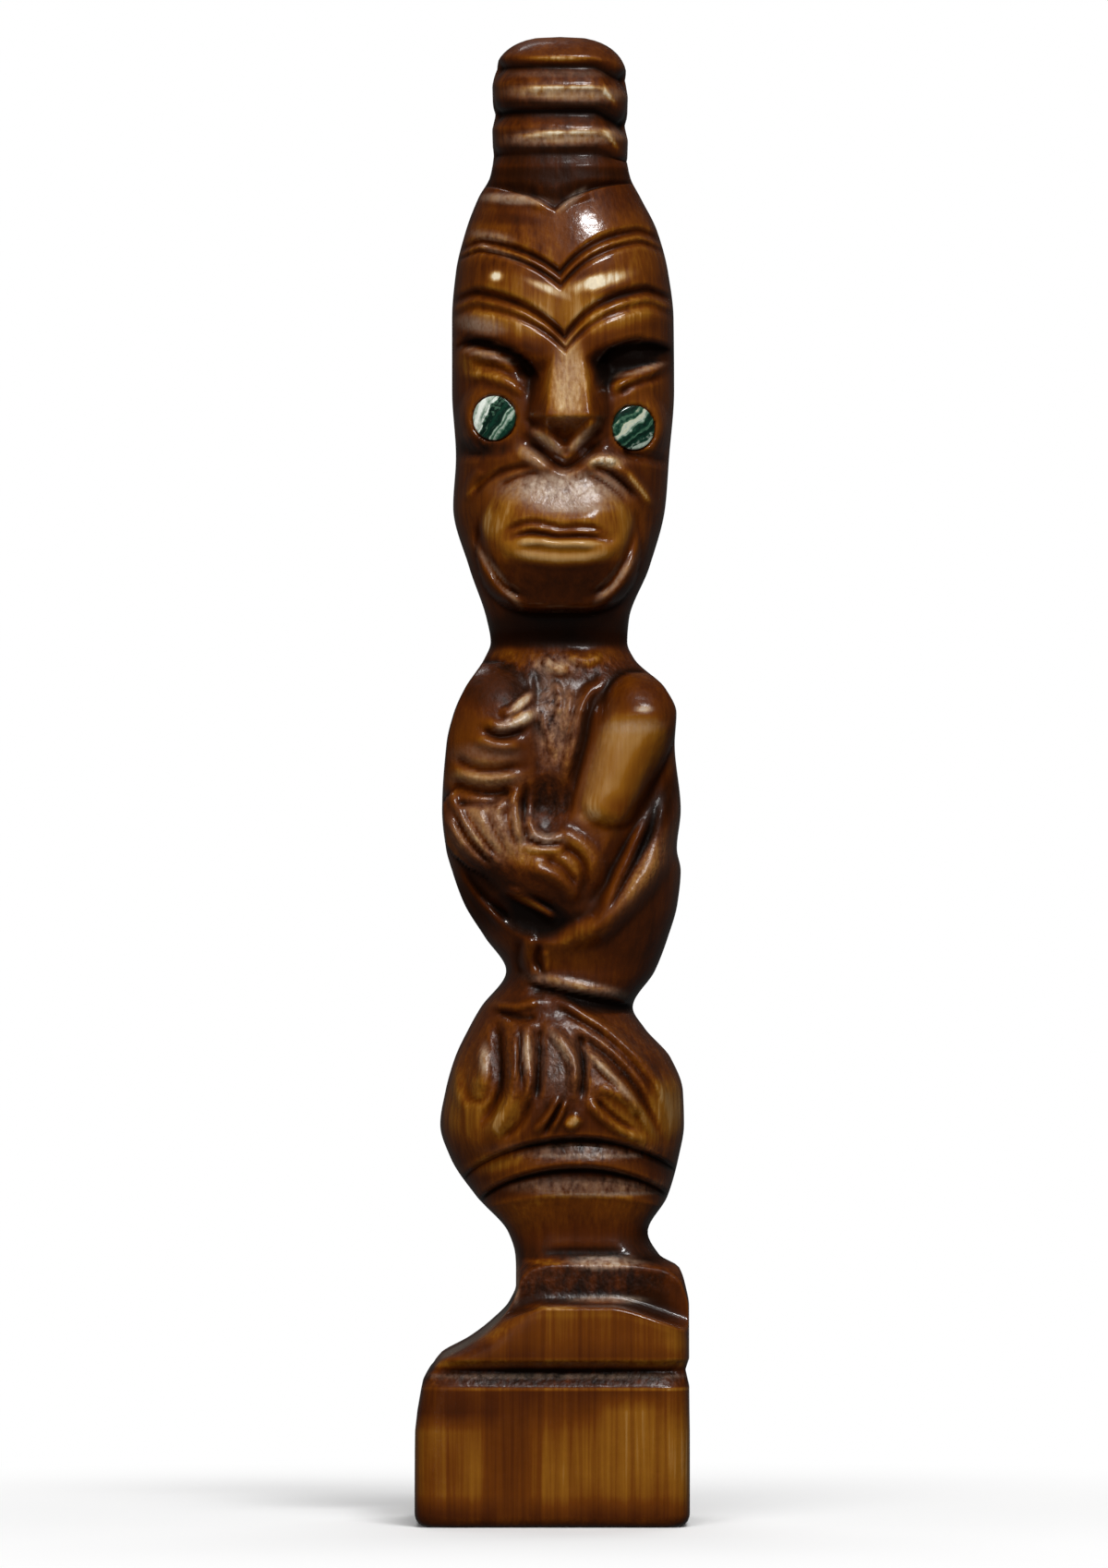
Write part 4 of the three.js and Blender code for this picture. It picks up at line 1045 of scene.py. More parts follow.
@dataclass(frozen=True)
class StainAndPaintedLight:
    """How dark the stain lies over the wood, with painted highlights and painted shade laid into it: 0 is
    black, 1 golden yellow, and above 1 paler, towards the cream of painted highlights.
    """

    plain: float = 0.36
    # Besides the stain, these patches paint light and shade: the light lines on the topknot's bands, the pale
    # spots of the forehead, the shoulder's two folds, the top of the club and its lower corner, the lower
    # lip's light lines, the ridges of the legs, the hem's lower edge, the shelf, the cove and the panel's
    # left edge are painted highlights, and the near-black patches in the eye hollows, under the chin, under
    # the palm, under the ledge and in the valley beside the club are painted shade.
    patches: tuple[Patch, ...] = patch_rows(
        (2, 258.4, 10, 1.3, 0.78, -0.03), (2, 259.4, 8, 0.4, 1.05, 0.02),
        (10.2, 258.1, 1.9, 0.5, 1.05, -0.82), (3, 250.5, 9, 1.2, 0.8, 0.04),
        (2, 251.3, 8, 0.4, 1.05, 0.05), (10.7, 250.3, 2, 0.5, 1.0, -0.92), (2, 264.7, 7, 0.4, 0.8),
        (1, 233, 20, 6, 0.52), (-7, 239.3, 6, 0.9, 0.6, -0.1), (-9, 235.8, 8, 1.1, 0.34, -0.1),
        (14, 228, 7, 4, 0.55), (-8, 224, 5, 3, 0.6), (2, 220, 8, 4, 0.74),
        (8.6, 224.3, 5, 1.3, 1.3, 0.25), (-0.6, 222.9, 3.8, 0.7, 1.08, -0.4),
        (-10, 225.3, 1.1, 0.9, 1.35), (-8, 217, 8, 2.4, 0.68, -0.34), (12.4, 218.2, 8, 2.6, 0.68, 0.3),
        (-10, 203, 10, 9, 0.4), (17, 203, 7, 9, 0.48), (-12, 208.3, 6, 2, 0.64, -0.24),
        (-9.8, 213.2, 8, 1.1, 0.18, -0.24), (-11, 211.5, 5, 0.6, 0.62, -0.26),
        (-4.4, 208.8, 2.4, 3.6, 0.27, 0.3), (14.2, 210.8, 8, 3, 0.0, 0.1),
        (16, 208.5, 4.4, 0.6, 0.6, 0.25), (9.2, 208.6, 2.2, 3.8, 0.0), (3, 206.6, 4.2, 7.8, 0.92),
        (3, 198, 5, 2.4, 0.54), (2.4, 193, 7, 1.4, 0.44), (9.8, 191.6, 3.2, 1.3, 0.96),
        (-4, 192.8, 3, 1.4, 0.66, -0.6), (-13, 194.6, 5, 1.8, 0.14), (1.5, 184, 13, 7, 0.62),
        (-9, 184, 4, 4.4, 0.62), (-10.8, 180.4, 2, 3, 0.78, 0.2), (12.2, 180.6, 2.2, 3.4, 0.76, -0.1),
        (12.4, 182, 3.4, 5, 0.68), (1.5, 176.6, 12.4, 3, 0.74), (2, 174.8, 9, 1.5, 0.84),
        (1.5, 178.9, 8.4, 0.8, 0.5), (2, 177, 7, 0.5, 0.8), (1.5, 167.6, 12, 4.2, 0.3),
        (-9.6, 171, 6, 0.7, 0.6, -0.94), (11.4, 170.4, 4.6, 0.9, 0.6, 0.86),
        (-0.6, 195.2, 3.2, 0.9, 0.78, -0.62), (5.6, 196, 3.2, 0.8, 0.72, 0.72),
        (15.6, 187.4, 3.6, 0.5, 0.8, -0.9), (-12.4, 188.4, 3.4, 0.5, 0.66, 0.7),
        (1.5, 161.6, 18, 3.8, 0.06), (1.5, 156.4, 14, 2, 0.5), (-8, 157, 3.4, 1.4, 0.6),
        (9.4, 157.4, 3, 1.2, 0.52), (-11, 151.6, 8, 4, 0.17), (1.4, 155, 3.4, 1.6, 0.66),
        (7, 156, 3.4, 1.2, 0.56), (-6.2, 145.1, 3.8, 1.2, 1.15, 0.42),
        (-5.5, 148.3, 2.3, 0.8, 0.94, 0.75), (-11, 141, 8, 5, 0.48), (-12, 134.6, 8, 3.6, 0.62),
        (-13, 135.2, 5, 0.5, 0.66), (1, 145, 4.2, 8, 0.45), (0.2, 139.4, 3.4, 2.6, 0.56),
        (-0.5, 131, 4.2, 4.4, 0.3), (15, 150.2, 8, 3, 0.3), (16.6, 147.2, 1.1, 0.5, 0.95),
        (14.6, 139.6, 7, 6.6, 0.76, -0.34), (10, 131, 5, 6.8, 0.78, -0.4),
        (8.8, 137.6, 2.2, 8, 0.74, -0.34), (14.4, 142.6, 5.6, 3, 0.79, 0.06),
        (16.4, 136, 2.8, 8, 0.57, -0.42), (13.6, 127.8, 5, 4, 0.5, -0.4), (6.9, 128, 2.2, 1.3, 0.8, 0.2),
        (18.6, 133.4, 2, 8, 0.48, -0.42), (17.6, 125, 2, 12, 0.1, -0.46), (5.6, 143.6, 1.8, 9, 0.3, -0.2),
        (-11, 125.4, 7, 5, 0.62), (-5.6, 121.2, 5.6, 2.4, 0.74, -0.1), (3.4, 120.8, 5, 4, 0.58),
        (-3, 109.6, 9, 4, 0.02, -0.3), (-4.4, 112.4, 5, 0.7, 0.62, -0.45), (5, 97.4, 8, 0.8, 0.58, -0.22),
        (-13, 113.4, 6, 7, 0.16), (16.6, 117.6, 2.4, 9, 0.62, -0.6), (6, 107.4, 6, 2.2, 0.52, 0.35),
        (17, 106, 7, 8, 0.31), (3.6, 102, 6, 3, 0.52), (9, 94.2, 8, 2, 0.04), (2, 84, 22, 9, 0.42),
        (1.4, 82, 5, 6, 0.35), (20.6, 75, 3.4, 6, 0.8), (-15, 76, 5, 8, 0.6),
        (-8.4, 73.6, 3.6, 4.6, 0.7, -0.5), (14, 74, 8, 4, 0.64, -0.7), (3.8, 73, 1.4, 1.2, 0.78),
        (-12.1, 84, 0.8, 2.4, 0.66), (-4.6, 85.4, 0.8, 3, 0.66), (2, 86, 3.2, 0.7, 0.66, -0.95),
        (10.6, 81, 5.6, 0.6, 0.7, -0.8), (13.4, 85, 6, 0.5, 0.6, -0.75), (4, 57.6, 12, 1.5, 0.56),
        (7, 67.6, 12, 1, 0.43), (7, 59.4, 10, 0.5, 0.7), (-9.6, 65.6, 6, 1.8, 0.7, 0.3),
        (5, 61, 14, 1.4, 0.52), (4, 54.6, 16, 4.4, 0.54), (9.6, 47.4, 5.6, 0.9, 0.7),
        (-1, 47.6, 4, 0.6, 0.66), (9.6, 40.7, 5, 0.7, 0.66), (0, 39.6, 5, 0.4, 0.7),
        (-10.4, 36.8, 4, 0.5, 0.6, 0.79), (-17.5, 31.9, 4.6, 0.5, 0.56, 0.49), (-6.4, 44.5, 0.5, 4, 0.58),
        (-12.4, 36.2, 8, 1.2, 0.2, 0.56), (-13, 21, 7, 3, 0.36), (14, 19.4, 6, 3, 0.7),
        (12, 13, 7, 8, 0.7), (-7, 12, 4, 11, 0.54), (-21, 22, 6, 4, 0.16), (-15, 31.8, 5, 1.4, 0.26, 0.3),
        (-20, 12, 5, 7, 0.52), (-22, 1, 8, 2.6, 0.2),
    )
    # Bands right across: the dark ones in the topknot's grooves, the collar, the hem's cuts, the cove and the
    # block's groove are stain and painted shade together; the light band on the upper wall of the block's
    # groove and the light line on the block's top edge are painted light; the block is darker at its top and
    # bottom edges.
    bands: tuple[Patch, ...] = across_rows(
        (267, 1.9, 0.35), (264.0, 1.3, 0.26), (261.9, 1.1, 0.36), (256.2, 1.3, 0.14), (248.2, 1.1, 0.28),
        (241.8, 4.4, 0.2), (64.5, 0.7, 0.12), (70.0, 0.6, 0.14), (44.4, 4.6, 0.24), (35.4, 4.4, 0.53),
        (27.2, 2.4, 0.16), (29.6, 0.9, 0.56), (24.9, 0.35, 0.62), (22.4, 1.9, 0.34), (12, 9.4, 0.63),
        (0, 3, 0.27),
    )
    front: Span = (6.0, -4.0)
    behind: float = 0.08
    # fine darkens the hollows, as pooled stain and painted shade, and lightens the crests as a painted
    # highlight; broad does the same over a wide neighbourhood
    fine: float = 0.45
    fine_range: Span = (-0.26, 0.5)
    broad: float = 0.1
    broad_range: Span = (-0.6, 1.6)

    def tone(self, surface: np.ndarray, level: np.ndarray, fine: np.ndarray, broad: np.ndarray) -> np.ndarray:
        """The tone of every point of the surface.

        Args:
            surface: the points, rows by columns by three, in millimetres.
            level: the level of each point, which follows the arch of the panel.
            fine: how far each point lies under its close neighbours.
            broad: the same for a wide neighbourhood.

        Returns:
            The patches' tone, with their painted highlights and painted shade, darker in the hollows
            with pooled stain and painted shade, and a little lighter on the crests with a painted
            highlight. Behind, the patches count for less.
        """
        x, y, z = np.moveaxis(surface, -1, 0)
        share = between((self.behind, 1), ease(*self.front, y))
        tone = np.full_like(x, self.plain)
        for band in self.bands:
            tone = band.pull(tone, x, level, np.ones_like(x))
        for patch in self.patches:
            tone = patch.pull(tone, x, z, share)
        tone = tone - self.fine * np.clip(fine, *self.fine_range)
        return tone - self.broad * np.clip(broad, *self.broad_range)


@dataclass(frozen=True)
class Lacquer:
    """Where the lacquer lies rough or dull, where a pale sheen is painted on as highlights, and where the
    wood is chipped or shows little grain.
    """

    rough: tuple[Patch, ...] = patch_rows(
        (0.8, 143, 4.4, 10, 1), (-0.5, 131, 4.4, 5, 1), (1.5, 155, 14, 3, 1), (3, 206, 5, 8, 0.3),
        (3, 187, 12, 4.4, 0.3), (10, 192, 4, 2, 1), (-6, 147, 5, 3, 0.8, 0.5), (1, 27, 40, 1.6, 1),
        (5, 44, 18, 3.4, 1), (6, 67, 16, 2, 0.8), (6, 61.6, 16, 2, 0.8), (2, 97, 10, 3, 0.6),
        (2, 84, 18, 9, 1), (-8, 125, 10, 12, 0.8), (16.4, 119, 3, 8, 0.8, -0.6), (2, 120, 10, 7, 0.6),
    )
    dull: tuple[Patch, ...] = patch_rows(
        (3, 187, 9, 3, 0.3), (1.5, 243.4, 16, 4.4, 0.95), (7.4, 183.2, 3, 1.4, 0.7),
        (-1, 267.6, 9, 2.2, 0.9), (2, 261.2, 12, 1.1, 0.8), (2, 253.2, 12, 1.1, 0.8),
        (6.4, 239, 2.6, 2.4, 0.92, 0.3), (13.6, 210.6, 8, 3.4, 1), (-8, 211, 8, 2.4, 0.9, -0.4),
        (3, 206, 5, 8, 0.6), (-3.4, 206, 2, 5, 0.9), (13.4, 204.8, 2.6, 1.4, 0.9, 0.4),
        (6.5, 207, 1.3, 7, 0.9), (8.4, 200, 1.6, 4, 0.8), (-10.4, 150.8, 7, 4.6, 0.985),
        (16, 149.6, 5, 2.6, 0.95), (-11, 138, 8, 7, 0.7), (-11.4, 172, 3, 6, 0.6, 0.5),
        (13.6, 172, 3, 6, 0.5, -0.5), (-1, 129, 2.4, 3, 0.85), (5, 67.8, 12, 2.2, 0.4),
        (19.4, 46, 6, 2.4, 0.9, -0.3), (16, 126.4, 2.6, 4, 0.94), (1.5, 160, 16, 1.8, 1),
        (-9.8, 85, 1.4, 5, 0.8), (8.2, 81.6, 1.8, 2.4, 0.8, -0.6), (19, 40.6, 6, 2, 0.9, -0.35),
        (20, 134, 3, 8, 0.85), (1.5, 156, 14, 4, 0.8), (2, 144, 5, 8, 0.4), (1, 27, 40, 2, 0.7),
        (-15, 112, 5, 8, 0.85), (18.6, 129.6, 2.6, 5, 0.9), (13, 119.4, 9.5, 1.4, 0.85, 1.12),
    )
    # a pale sheen painted on as highlights: on the topknot, forehead, face, chest, shoulder, hands, club,
    # legs, hem, shelf, cove, panel edge and the block's groove
    sheen_patches: tuple[Patch, ...] = patch_rows(
        (3, 258.5, 10, 1.4, 0.45, -0.03), (3, 250.6, 10, 1.4, 0.5, 0.04), (2, 262, 10, 0.6, 0.1),
        (-7, 239.3, 6, 0.9, 0.5, -0.1), (3.4, 239, 3, 0.8, 0.4, 0.7), (-11, 232.6, 4, 0.8, 0.3, -0.2),
        (-9, 229.4, 5, 0.5, 0.25, -0.4), (8.6, 224.3, 5.4, 1.3, 0.3, 0.25),
        (-0.6, 222.9, 4, 0.8, 0.35, -0.4), (-10, 225.3, 1.2, 1, 0.2), (-13, 216.6, 4.4, 1.4, 0.4, -0.2),
        (-11, 211, 5, 0.6, 0.4, -0.26), (16, 208.5, 4.4, 0.6, 0.4, 0.25), (3, 207, 2.6, 7, 0.3),
        (-3.4, 192.6, 3, 1.2, 0.4, -0.6), (9.6, 191.8, 3.4, 1.4, 0.35), (2.4, 186.8, 10, 3, 0.75),
        (4, 183.4, 6, 0.9, 0.6), (-0.6, 195.2, 3.2, 0.9, 0.45, -0.62), (5.6, 196, 3.2, 0.8, 0.45, 0.72),
        (-9.6, 171, 6, 0.7, 0.5, -0.94), (11.4, 170.4, 4.6, 0.9, 0.5, 0.86), (1, 155, 4, 1.6, 0.4),
        (1, 145.6, 4, 8.6, 0.16), (-6.2, 145.1, 3.8, 1.2, 0.7, 0.42), (-5.5, 148.3, 2.3, 0.8, 0.8, 0.75),
        (-12, 139, 6, 2, 0.14), (-12, 134.8, 6, 1.6, 0.24), (-11, 125.4, 7, 5, 0.24),
        (-2, 123.6, 4, 1.4, 0.4), (16.6, 117.6, 2.4, 9, 0.1, -0.6), (8.2, 137, 1.8, 9, 0.1, -0.3),
        (14.6, 144, 5, 1.2, 0.26, 0.06), (6.7, 127.8, 1.9, 1.1, 0.15, 0.2), (16.6, 147.2, 1.5, 0.6, 0.9),
        (5, 97.2, 9, 1.2, 0.3, -0.2), (2.4, 84, 8, 6, 0.06), (-12.1, 84, 0.9, 2.6, 0.7),
        (-4.6, 85.4, 0.9, 3.2, 0.6), (2, 86, 3.4, 0.8, 0.6, -0.95), (10.6, 81, 5.8, 0.7, 0.6, -0.8),
        (4, 67.8, 14, 1.4, 0.12), (7, 66.7, 10, 0.4, 0.4), (6, 61.2, 14, 1.4, 0.2),
        (9, 59.8, 9, 0.4, 0.5), (9.6, 47.4, 6, 1.1, 0.7), (9.6, 40.7, 6, 0.8, 0.7),
        (-10.4, 36.8, 4, 0.5, 0.5, 0.79), (-17.5, 31.9, 4.6, 0.5, 0.5, 0.49), (-6.4, 44.5, 0.5, 4, 0.5),
        (0, 27.2, 40, 0.4, 0.14),
    )
    chipped: tuple[Patch, ...] = patch_rows(
        (0.8, 144, 4.2, 9.4, 1), (1.5, 155.4, 12, 2.6, 0.8), (-0.5, 130.6, 3.6, 4.4, 0.8),
        (1.5, 259.6, 14, 3.4, 0.5), (1.5, 251.4, 14, 3.4, 0.5), (-8, 230.6, 10, 4.4, 0.45),
        (1.5, 240, 12, 2.4, 0.4), (9, 224.4, 6, 1.8, 0.5, 0.25), (-12, 196, 6, 4, 0.5),
        (-11, 209, 7, 4, 0.4), (2, 187.6, 9, 2.6, 0.6), (-7, 147, 6, 4, 0.4, 0.5), (-9, 126, 10, 9, 0.5),
        (2, 97.4, 10, 2.4, 0.3), (2, 83, 16, 8, 0.5), (5, 67.4, 15, 2, 0.8), (5, 61.4, 14, 1.8, 0.9),
        (6, 45, 18, 4.6, 0.7), (1, 27, 40, 1.6, 0.6),
    )
    even: tuple[Patch, ...] = patch_rows(
        (13.4, 138, 7.4, 12, 0.8, -0.36), (2, 176, 12, 4, 0.8), (-11, 138, 8, 10, 0.6),
        (1, 145, 5, 10, 0.7), (0, 118, 16, 9, 0.6),
    )
    front: Span = (4.0, -4.0)
    cuts: Span = (0.04, 0.24)

    def spread(self, patches: tuple[Patch, ...], surface: np.ndarray) -> np.ndarray:
        """How far each point lies in these patches, on the front only.

        Args:
            patches: the patches, in the order that they are laid.
            surface: the points, rows by columns by three, in millimetres.

        Returns:
            A share from 0 to 1 for each point.
        """
        x, y, z = np.moveaxis(surface, -1, 0)
        made = np.zeros_like(x)
        for patch in patches:
            made = patch.pull(made, x, z, ease(*self.front, y))
        return made

    def gloss(self, surface: np.ndarray, fine: np.ndarray) -> np.ndarray:
        """How glossy each point is, from 0 to 1: less in the dull patches, and not at all in the cuts."""
        return (1 - self.spread(self.dull, surface)) * (1 - ease(*self.cuts, fine))

    def painted_sheen(self, surface: np.ndarray, fine: np.ndarray) -> np.ndarray:
        """How strongly the pale sheen painted on as a highlight lies at each point, from 0 to 1, and not at
        all in the cuts.
        """
        return self.spread(self.sheen_patches, surface) * (1 - ease(*self.cuts, fine))


class RowBand(NamedTuple):
    """A band of the grid: its top level and how many rows fill it."""

    top: float
    rows: int


@dataclass
class Carving:
    """The whole piece of wood: figure and block in one surface."""

    outline: Outline = field(default_factory=Outline)
    crown: Crown = field(default_factory=Crown)
    face: Face = field(default_factory=Face)
    torso: Torso = field(default_factory=Torso)
    legs: Legs = field(default_factory=Legs)
    block: Block = field(default_factory=Block)
    columns: int = 170
    front_closeness: float = 0.62
    side_share: float = 0.3
    back_share: float = 0.5
    legs_top: float = 100.0
    torso_span: Span = (92.0, 162.0)
    face_span: Span = (158.0, 222.0)
    middles: Span = (1.0, 1.5)
    fine_rounds: int = 5
    broad_rounds: int = 60
    spine: tuple[Stroke, ...] = (
        cut(1.8, 1.2, (1.8, 153), (2.0, 140), (1.8, 120), (1.6, 103)),
        cut(1.1, 0.8, (-14.5, 147), (-12.5, 139.5), (-7.5, 134), (-0.6, 131.6)),
        cut(1.1, 0.8, (18.5, 147), (16.5, 139.5), (11.2, 134), (4.2, 131.6)),
        cut(1.0, 0.6, (-13.2, 109), (-7, 104.5), (0, 103)),
        cut(1.0, 0.6, (18.4, 109), (11, 104.5), (3.2, 103)),
    )
    bands: tuple[RowBand, ...] = (
        RowBand(2.4, 5),
        RowBand(24.5, 6),
        RowBand(31, 22),
        RowBand(39, 10),
        RowBand(49, 28),
        RowBand(58.5, 12),
        RowBand(92, 76),
        RowBand(158, 150),
        RowBand(190, 76),
        RowBand(206, 56),
        RowBand(240, 76),
        RowBand(266, 48),
        RowBand(269.2, 9),
    )

    def levels(self) -> np.ndarray:
        """The level of every row.

        Returns:
            The levels from the foot up, evenly spaced within each band.
        """
        rows, low = [np.zeros(1)], 0.0
        for band in self.bands:
            rows.append(np.linspace(low, band.top, band.rows + 1)[1:])
            low = band.top
        return np.concatenate(rows)

    def turns(self) -> np.ndarray:
        """The turn of every column from the front.

        Returns:
            The turns, closest together in front: a share of t and of t cubed, with t from -1 to 1.
        """
        t = np.arange(self.columns) * 2 / self.columns
        t = np.where(t > 1, t - 2, t)
        return math.pi * ((1 - self.front_closeness) * t + self.front_closeness * t**3)

    def bent(self, x: np.ndarray, level: np.ndarray) -> np.ndarray:
        """The height of each level once it follows the chevrons, the hem and the arch."""
        return level + self.crown.lift(x, level) + self.legs.lift(x, level) + self.block.lift(x, level)

    def front(self, plain: np.ndarray, x: np.ndarray, z: np.ndarray, level: np.ndarray) -> np.ndarray:
        """Carves the front, part by part from the block up.

        Args:
            plain: the plain depth at each place.
            x: places across.
            z: places up.
            level: the level at each place.

        Returns:
            The carved depth.
        """
        depth = self.block.carve(plain, level)
        depth = np.where(z < self.legs_top, self.legs.carve(depth, x, z, level), depth)
        depth = np.where(within(self.torso_span, z), self.torso.carve(depth, x, z), depth)
        depth = np.where(within(self.face_span, z), self.face.carve(depth, x, z), depth)
        return self.crown.carve(depth, x, z, level)

    def back(self, plain: np.ndarray, x: np.ndarray, z: np.ndarray, level: np.ndarray) -> np.ndarray:
        """The depth behind: the hem and the crown's rim run round, with a spine and shoulder lines."""
        lines = self.legs.hem(level) + self.crown.rim.cut(level - self.crown.rim.level)
        return plain - self.back_share * lines + all_strokes(self.spine, x, z)

    def surface(self) -> np.ndarray:
        """Every point of the grid, rows by columns by three, in millimetres.

        Returns:
            The points. A section is a superellipse: its reach at a turn is the sum of |sin| and
            |cos| to the squareness, to the power of minus one over it. The front half then takes
            the carved depth in place of the plain one, less towards the sides.
        """
        level, turn = np.meshgrid(self.levels(), self.turns(), indexing="ij")
        across, ahead = np.sin(turn), np.cos(turn)

        def reach(section: Section) -> np.ndarray:
            """The superellipse's reach at each turn."""
            n = section.square
            return (np.abs(across) ** n + np.abs(ahead) ** n) ** (-1 / n)

        rough = self.outline.section(level)
        z = self.bent(rough.middle + across * reach(rough) * rough.half, level)
        section = self.outline.section(z)
        scale = reach(section) * self.outline.shrink(z)
        u, v = across * scale, ahead * scale
        facing = ease(0, self.side_share, np.abs(v))
        inset = self.outline.foot_inset(z)
        for g in (*self.crown.grooves, self.block.groove):
            inset = inset + g.inset(level, np.abs(v))
        long = np.maximum(np.hypot(u, v), LEAST_LENGTH)
        x = section.middle + u * section.half - inset * u / long
        plain = np.where(v > 0, section.front, section.back) * np.abs(v) - inset * np.abs(v) / long
        carved = np.where(v > 0, self.front(plain, x, z, level), self.back(plain, x, z, level))
        y = np.where(v > 0, -1, 1) * (plain + (carved - plain) * facing)
        return np.stack([x, y, z], axis=-1)

    def hollowness(self, surface: np.ndarray, rounds: int) -> np.ndarray:
        """How far each point lies below its neighbours, in millimetres.

        Args:
            surface: the points, rows by columns by three.
            rounds: how often they are blurred. More rounds take in a wider neighbourhood.

        Returns:
            The blurred surface less the surface, measured along the normal.
        """
        blurred = surface.copy()
        for _ in range(rounds):
            side = (np.roll(blurred, 1, 1) + np.roll(blurred, -1, 1)) / 2
            inner = blurred.copy()
            inner[1:-1] = (blurred[2:] + blurred[:-2]) / 2
            blurred = (side + inner) / 2
        dr = np.gradient(blurred, axis=0)
        dc = np.roll(blurred, -1, 1) - np.roll(blurred, 1, 1)
        normal = np.cross(dc, dr)
        normal /= np.maximum(np.linalg.norm(normal, axis=-1, keepdims=True), LEAST_AREA)
        return ((blurred - surface) * normal).sum(-1)

    def build(self) -> bpy.types.Object:
        """The carving as one closed mesh with its tone and lacquer attributes, which carry painted highlights
        and painted shade besides the stain.

        Returns:
            The new object, at the origin.
        """
        surface = self.surface()
        ends = np.array([[self.middles[0], 0.0, 0.0], [self.middles[1], 0.0, self.outline.height]])
        points = np.concatenate([surface.reshape(-1, 3), ends]) * MM
        mesh = ringed_mesh("carved_wood", points, self.columns, False)
        level = np.broadcast_to(self.levels()[:, None], surface.shape[:2])
        fine = self.hollowness(surface, self.fine_rounds)
        broad = self.hollowness(surface, self.broad_rounds)
        lacquer = Lacquer()
        # the tone holds painted highlights and painted shade besides the stain, and the pale wash is a
        # painted sheen
        looks = {
            "tone": StainAndPaintedLight().tone(surface, level, fine, broad),
            "rough": lacquer.spread(lacquer.rough, surface),
            "gloss": lacquer.gloss(surface, fine),
            "painted_sheen": lacquer.painted_sheen(surface, fine),
            "chips": lacquer.spread(lacquer.chipped, surface),
            "grain": 1 - lacquer.spread(lacquer.even, surface),
        }
        for name, values in looks.items():
            whole = np.concatenate([values.ravel(), values[[0, -1], 0]]).astype(np.float32)
            mesh.attributes.new(name, "FLOAT", "POINT").data.foreach_set("value", whole)
        return place(mesh)


def closed_mesh(name: str, points: np.ndarray, quads: np.ndarray, tris: np.ndarray) -> bpy.types.Mesh:
    """A smooth-shaded mesh from whole arrays.

    Args:
        name: the mesh's name.
        points: corner places in metres, one row each.
        quads: four corners to a row.
        tris: three corners to a row.

    Returns:
        The new mesh.
    """
    mesh = bpy.data.meshes.new(name)
    corners = np.concatenate([quads.ravel(), tris.ravel()]).astype(np.int32)
    sizes = np.concatenate([np.full(len(quads), 4), np.full(len(tris), 3)])
    starts = np.concatenate([[0], np.cumsum(sizes)[:-1]]).astype(np.int32)
    mesh.vertices.add(len(points))
    mesh.vertices.foreach_set("co", points.astype(np.float32).ravel())
    mesh.loops.add(len(corners))
    mesh.loops.foreach_set("vertex_index", corners)
    mesh.polygons.add(len(sizes))
    mesh.polygons.foreach_set("loop_start", starts)
    mesh.update(calc_edges=True)
    mesh.validate()
    mesh.polygons.foreach_set("use_smooth", np.ones(len(sizes), bool))
    return mesh


def ringed_mesh(name: str, points: np.ndarray, sides: int, swapped: bool) -> bpy.types.Mesh:
    """A closed skin over rings of points, with a fan at each end.

    Args:
        name: the mesh's name.
        points: the rings one after the other, then the middle of the first ring and of the last.
        sides: how many points a ring has.
        swapped: whether the corners of every face run the other way round.

    Returns:
        The new mesh.
    """
    total = len(points) - 2
    last = total - sides
    ring = np.arange(sides)
    following = (ring + 1) % sides
    start = np.arange(0, last, sides)[:, None]
    here, right = start + ring, start + following
    quads = np.stack([here, right, right + sides, here + sides], -1).reshape(-1, 4)
    foot = np.stack([following, ring, np.full(sides, total)], -1)
    head = np.stack([last + ring, last + following, np.full(sides, total + 1)], -1)
    fans = np.concatenate([foot, head])
    if swapped:
        quads, fans = quads[:, [0, 3, 2, 1]], fans[:, [1, 0, 2]]
    return closed_mesh(name, points, quads, fans)


def place(mesh: bpy.types.Mesh) -> bpy.types.Object:
    """Puts a mesh into the scene.

    Args:
        mesh: the mesh.

    Returns:
        The new object that shows it, at the origin.
    """
    made = bpy.data.objects.new(mesh.name, mesh)
    bpy.context.scene.collection.objects.link(made)
    return made


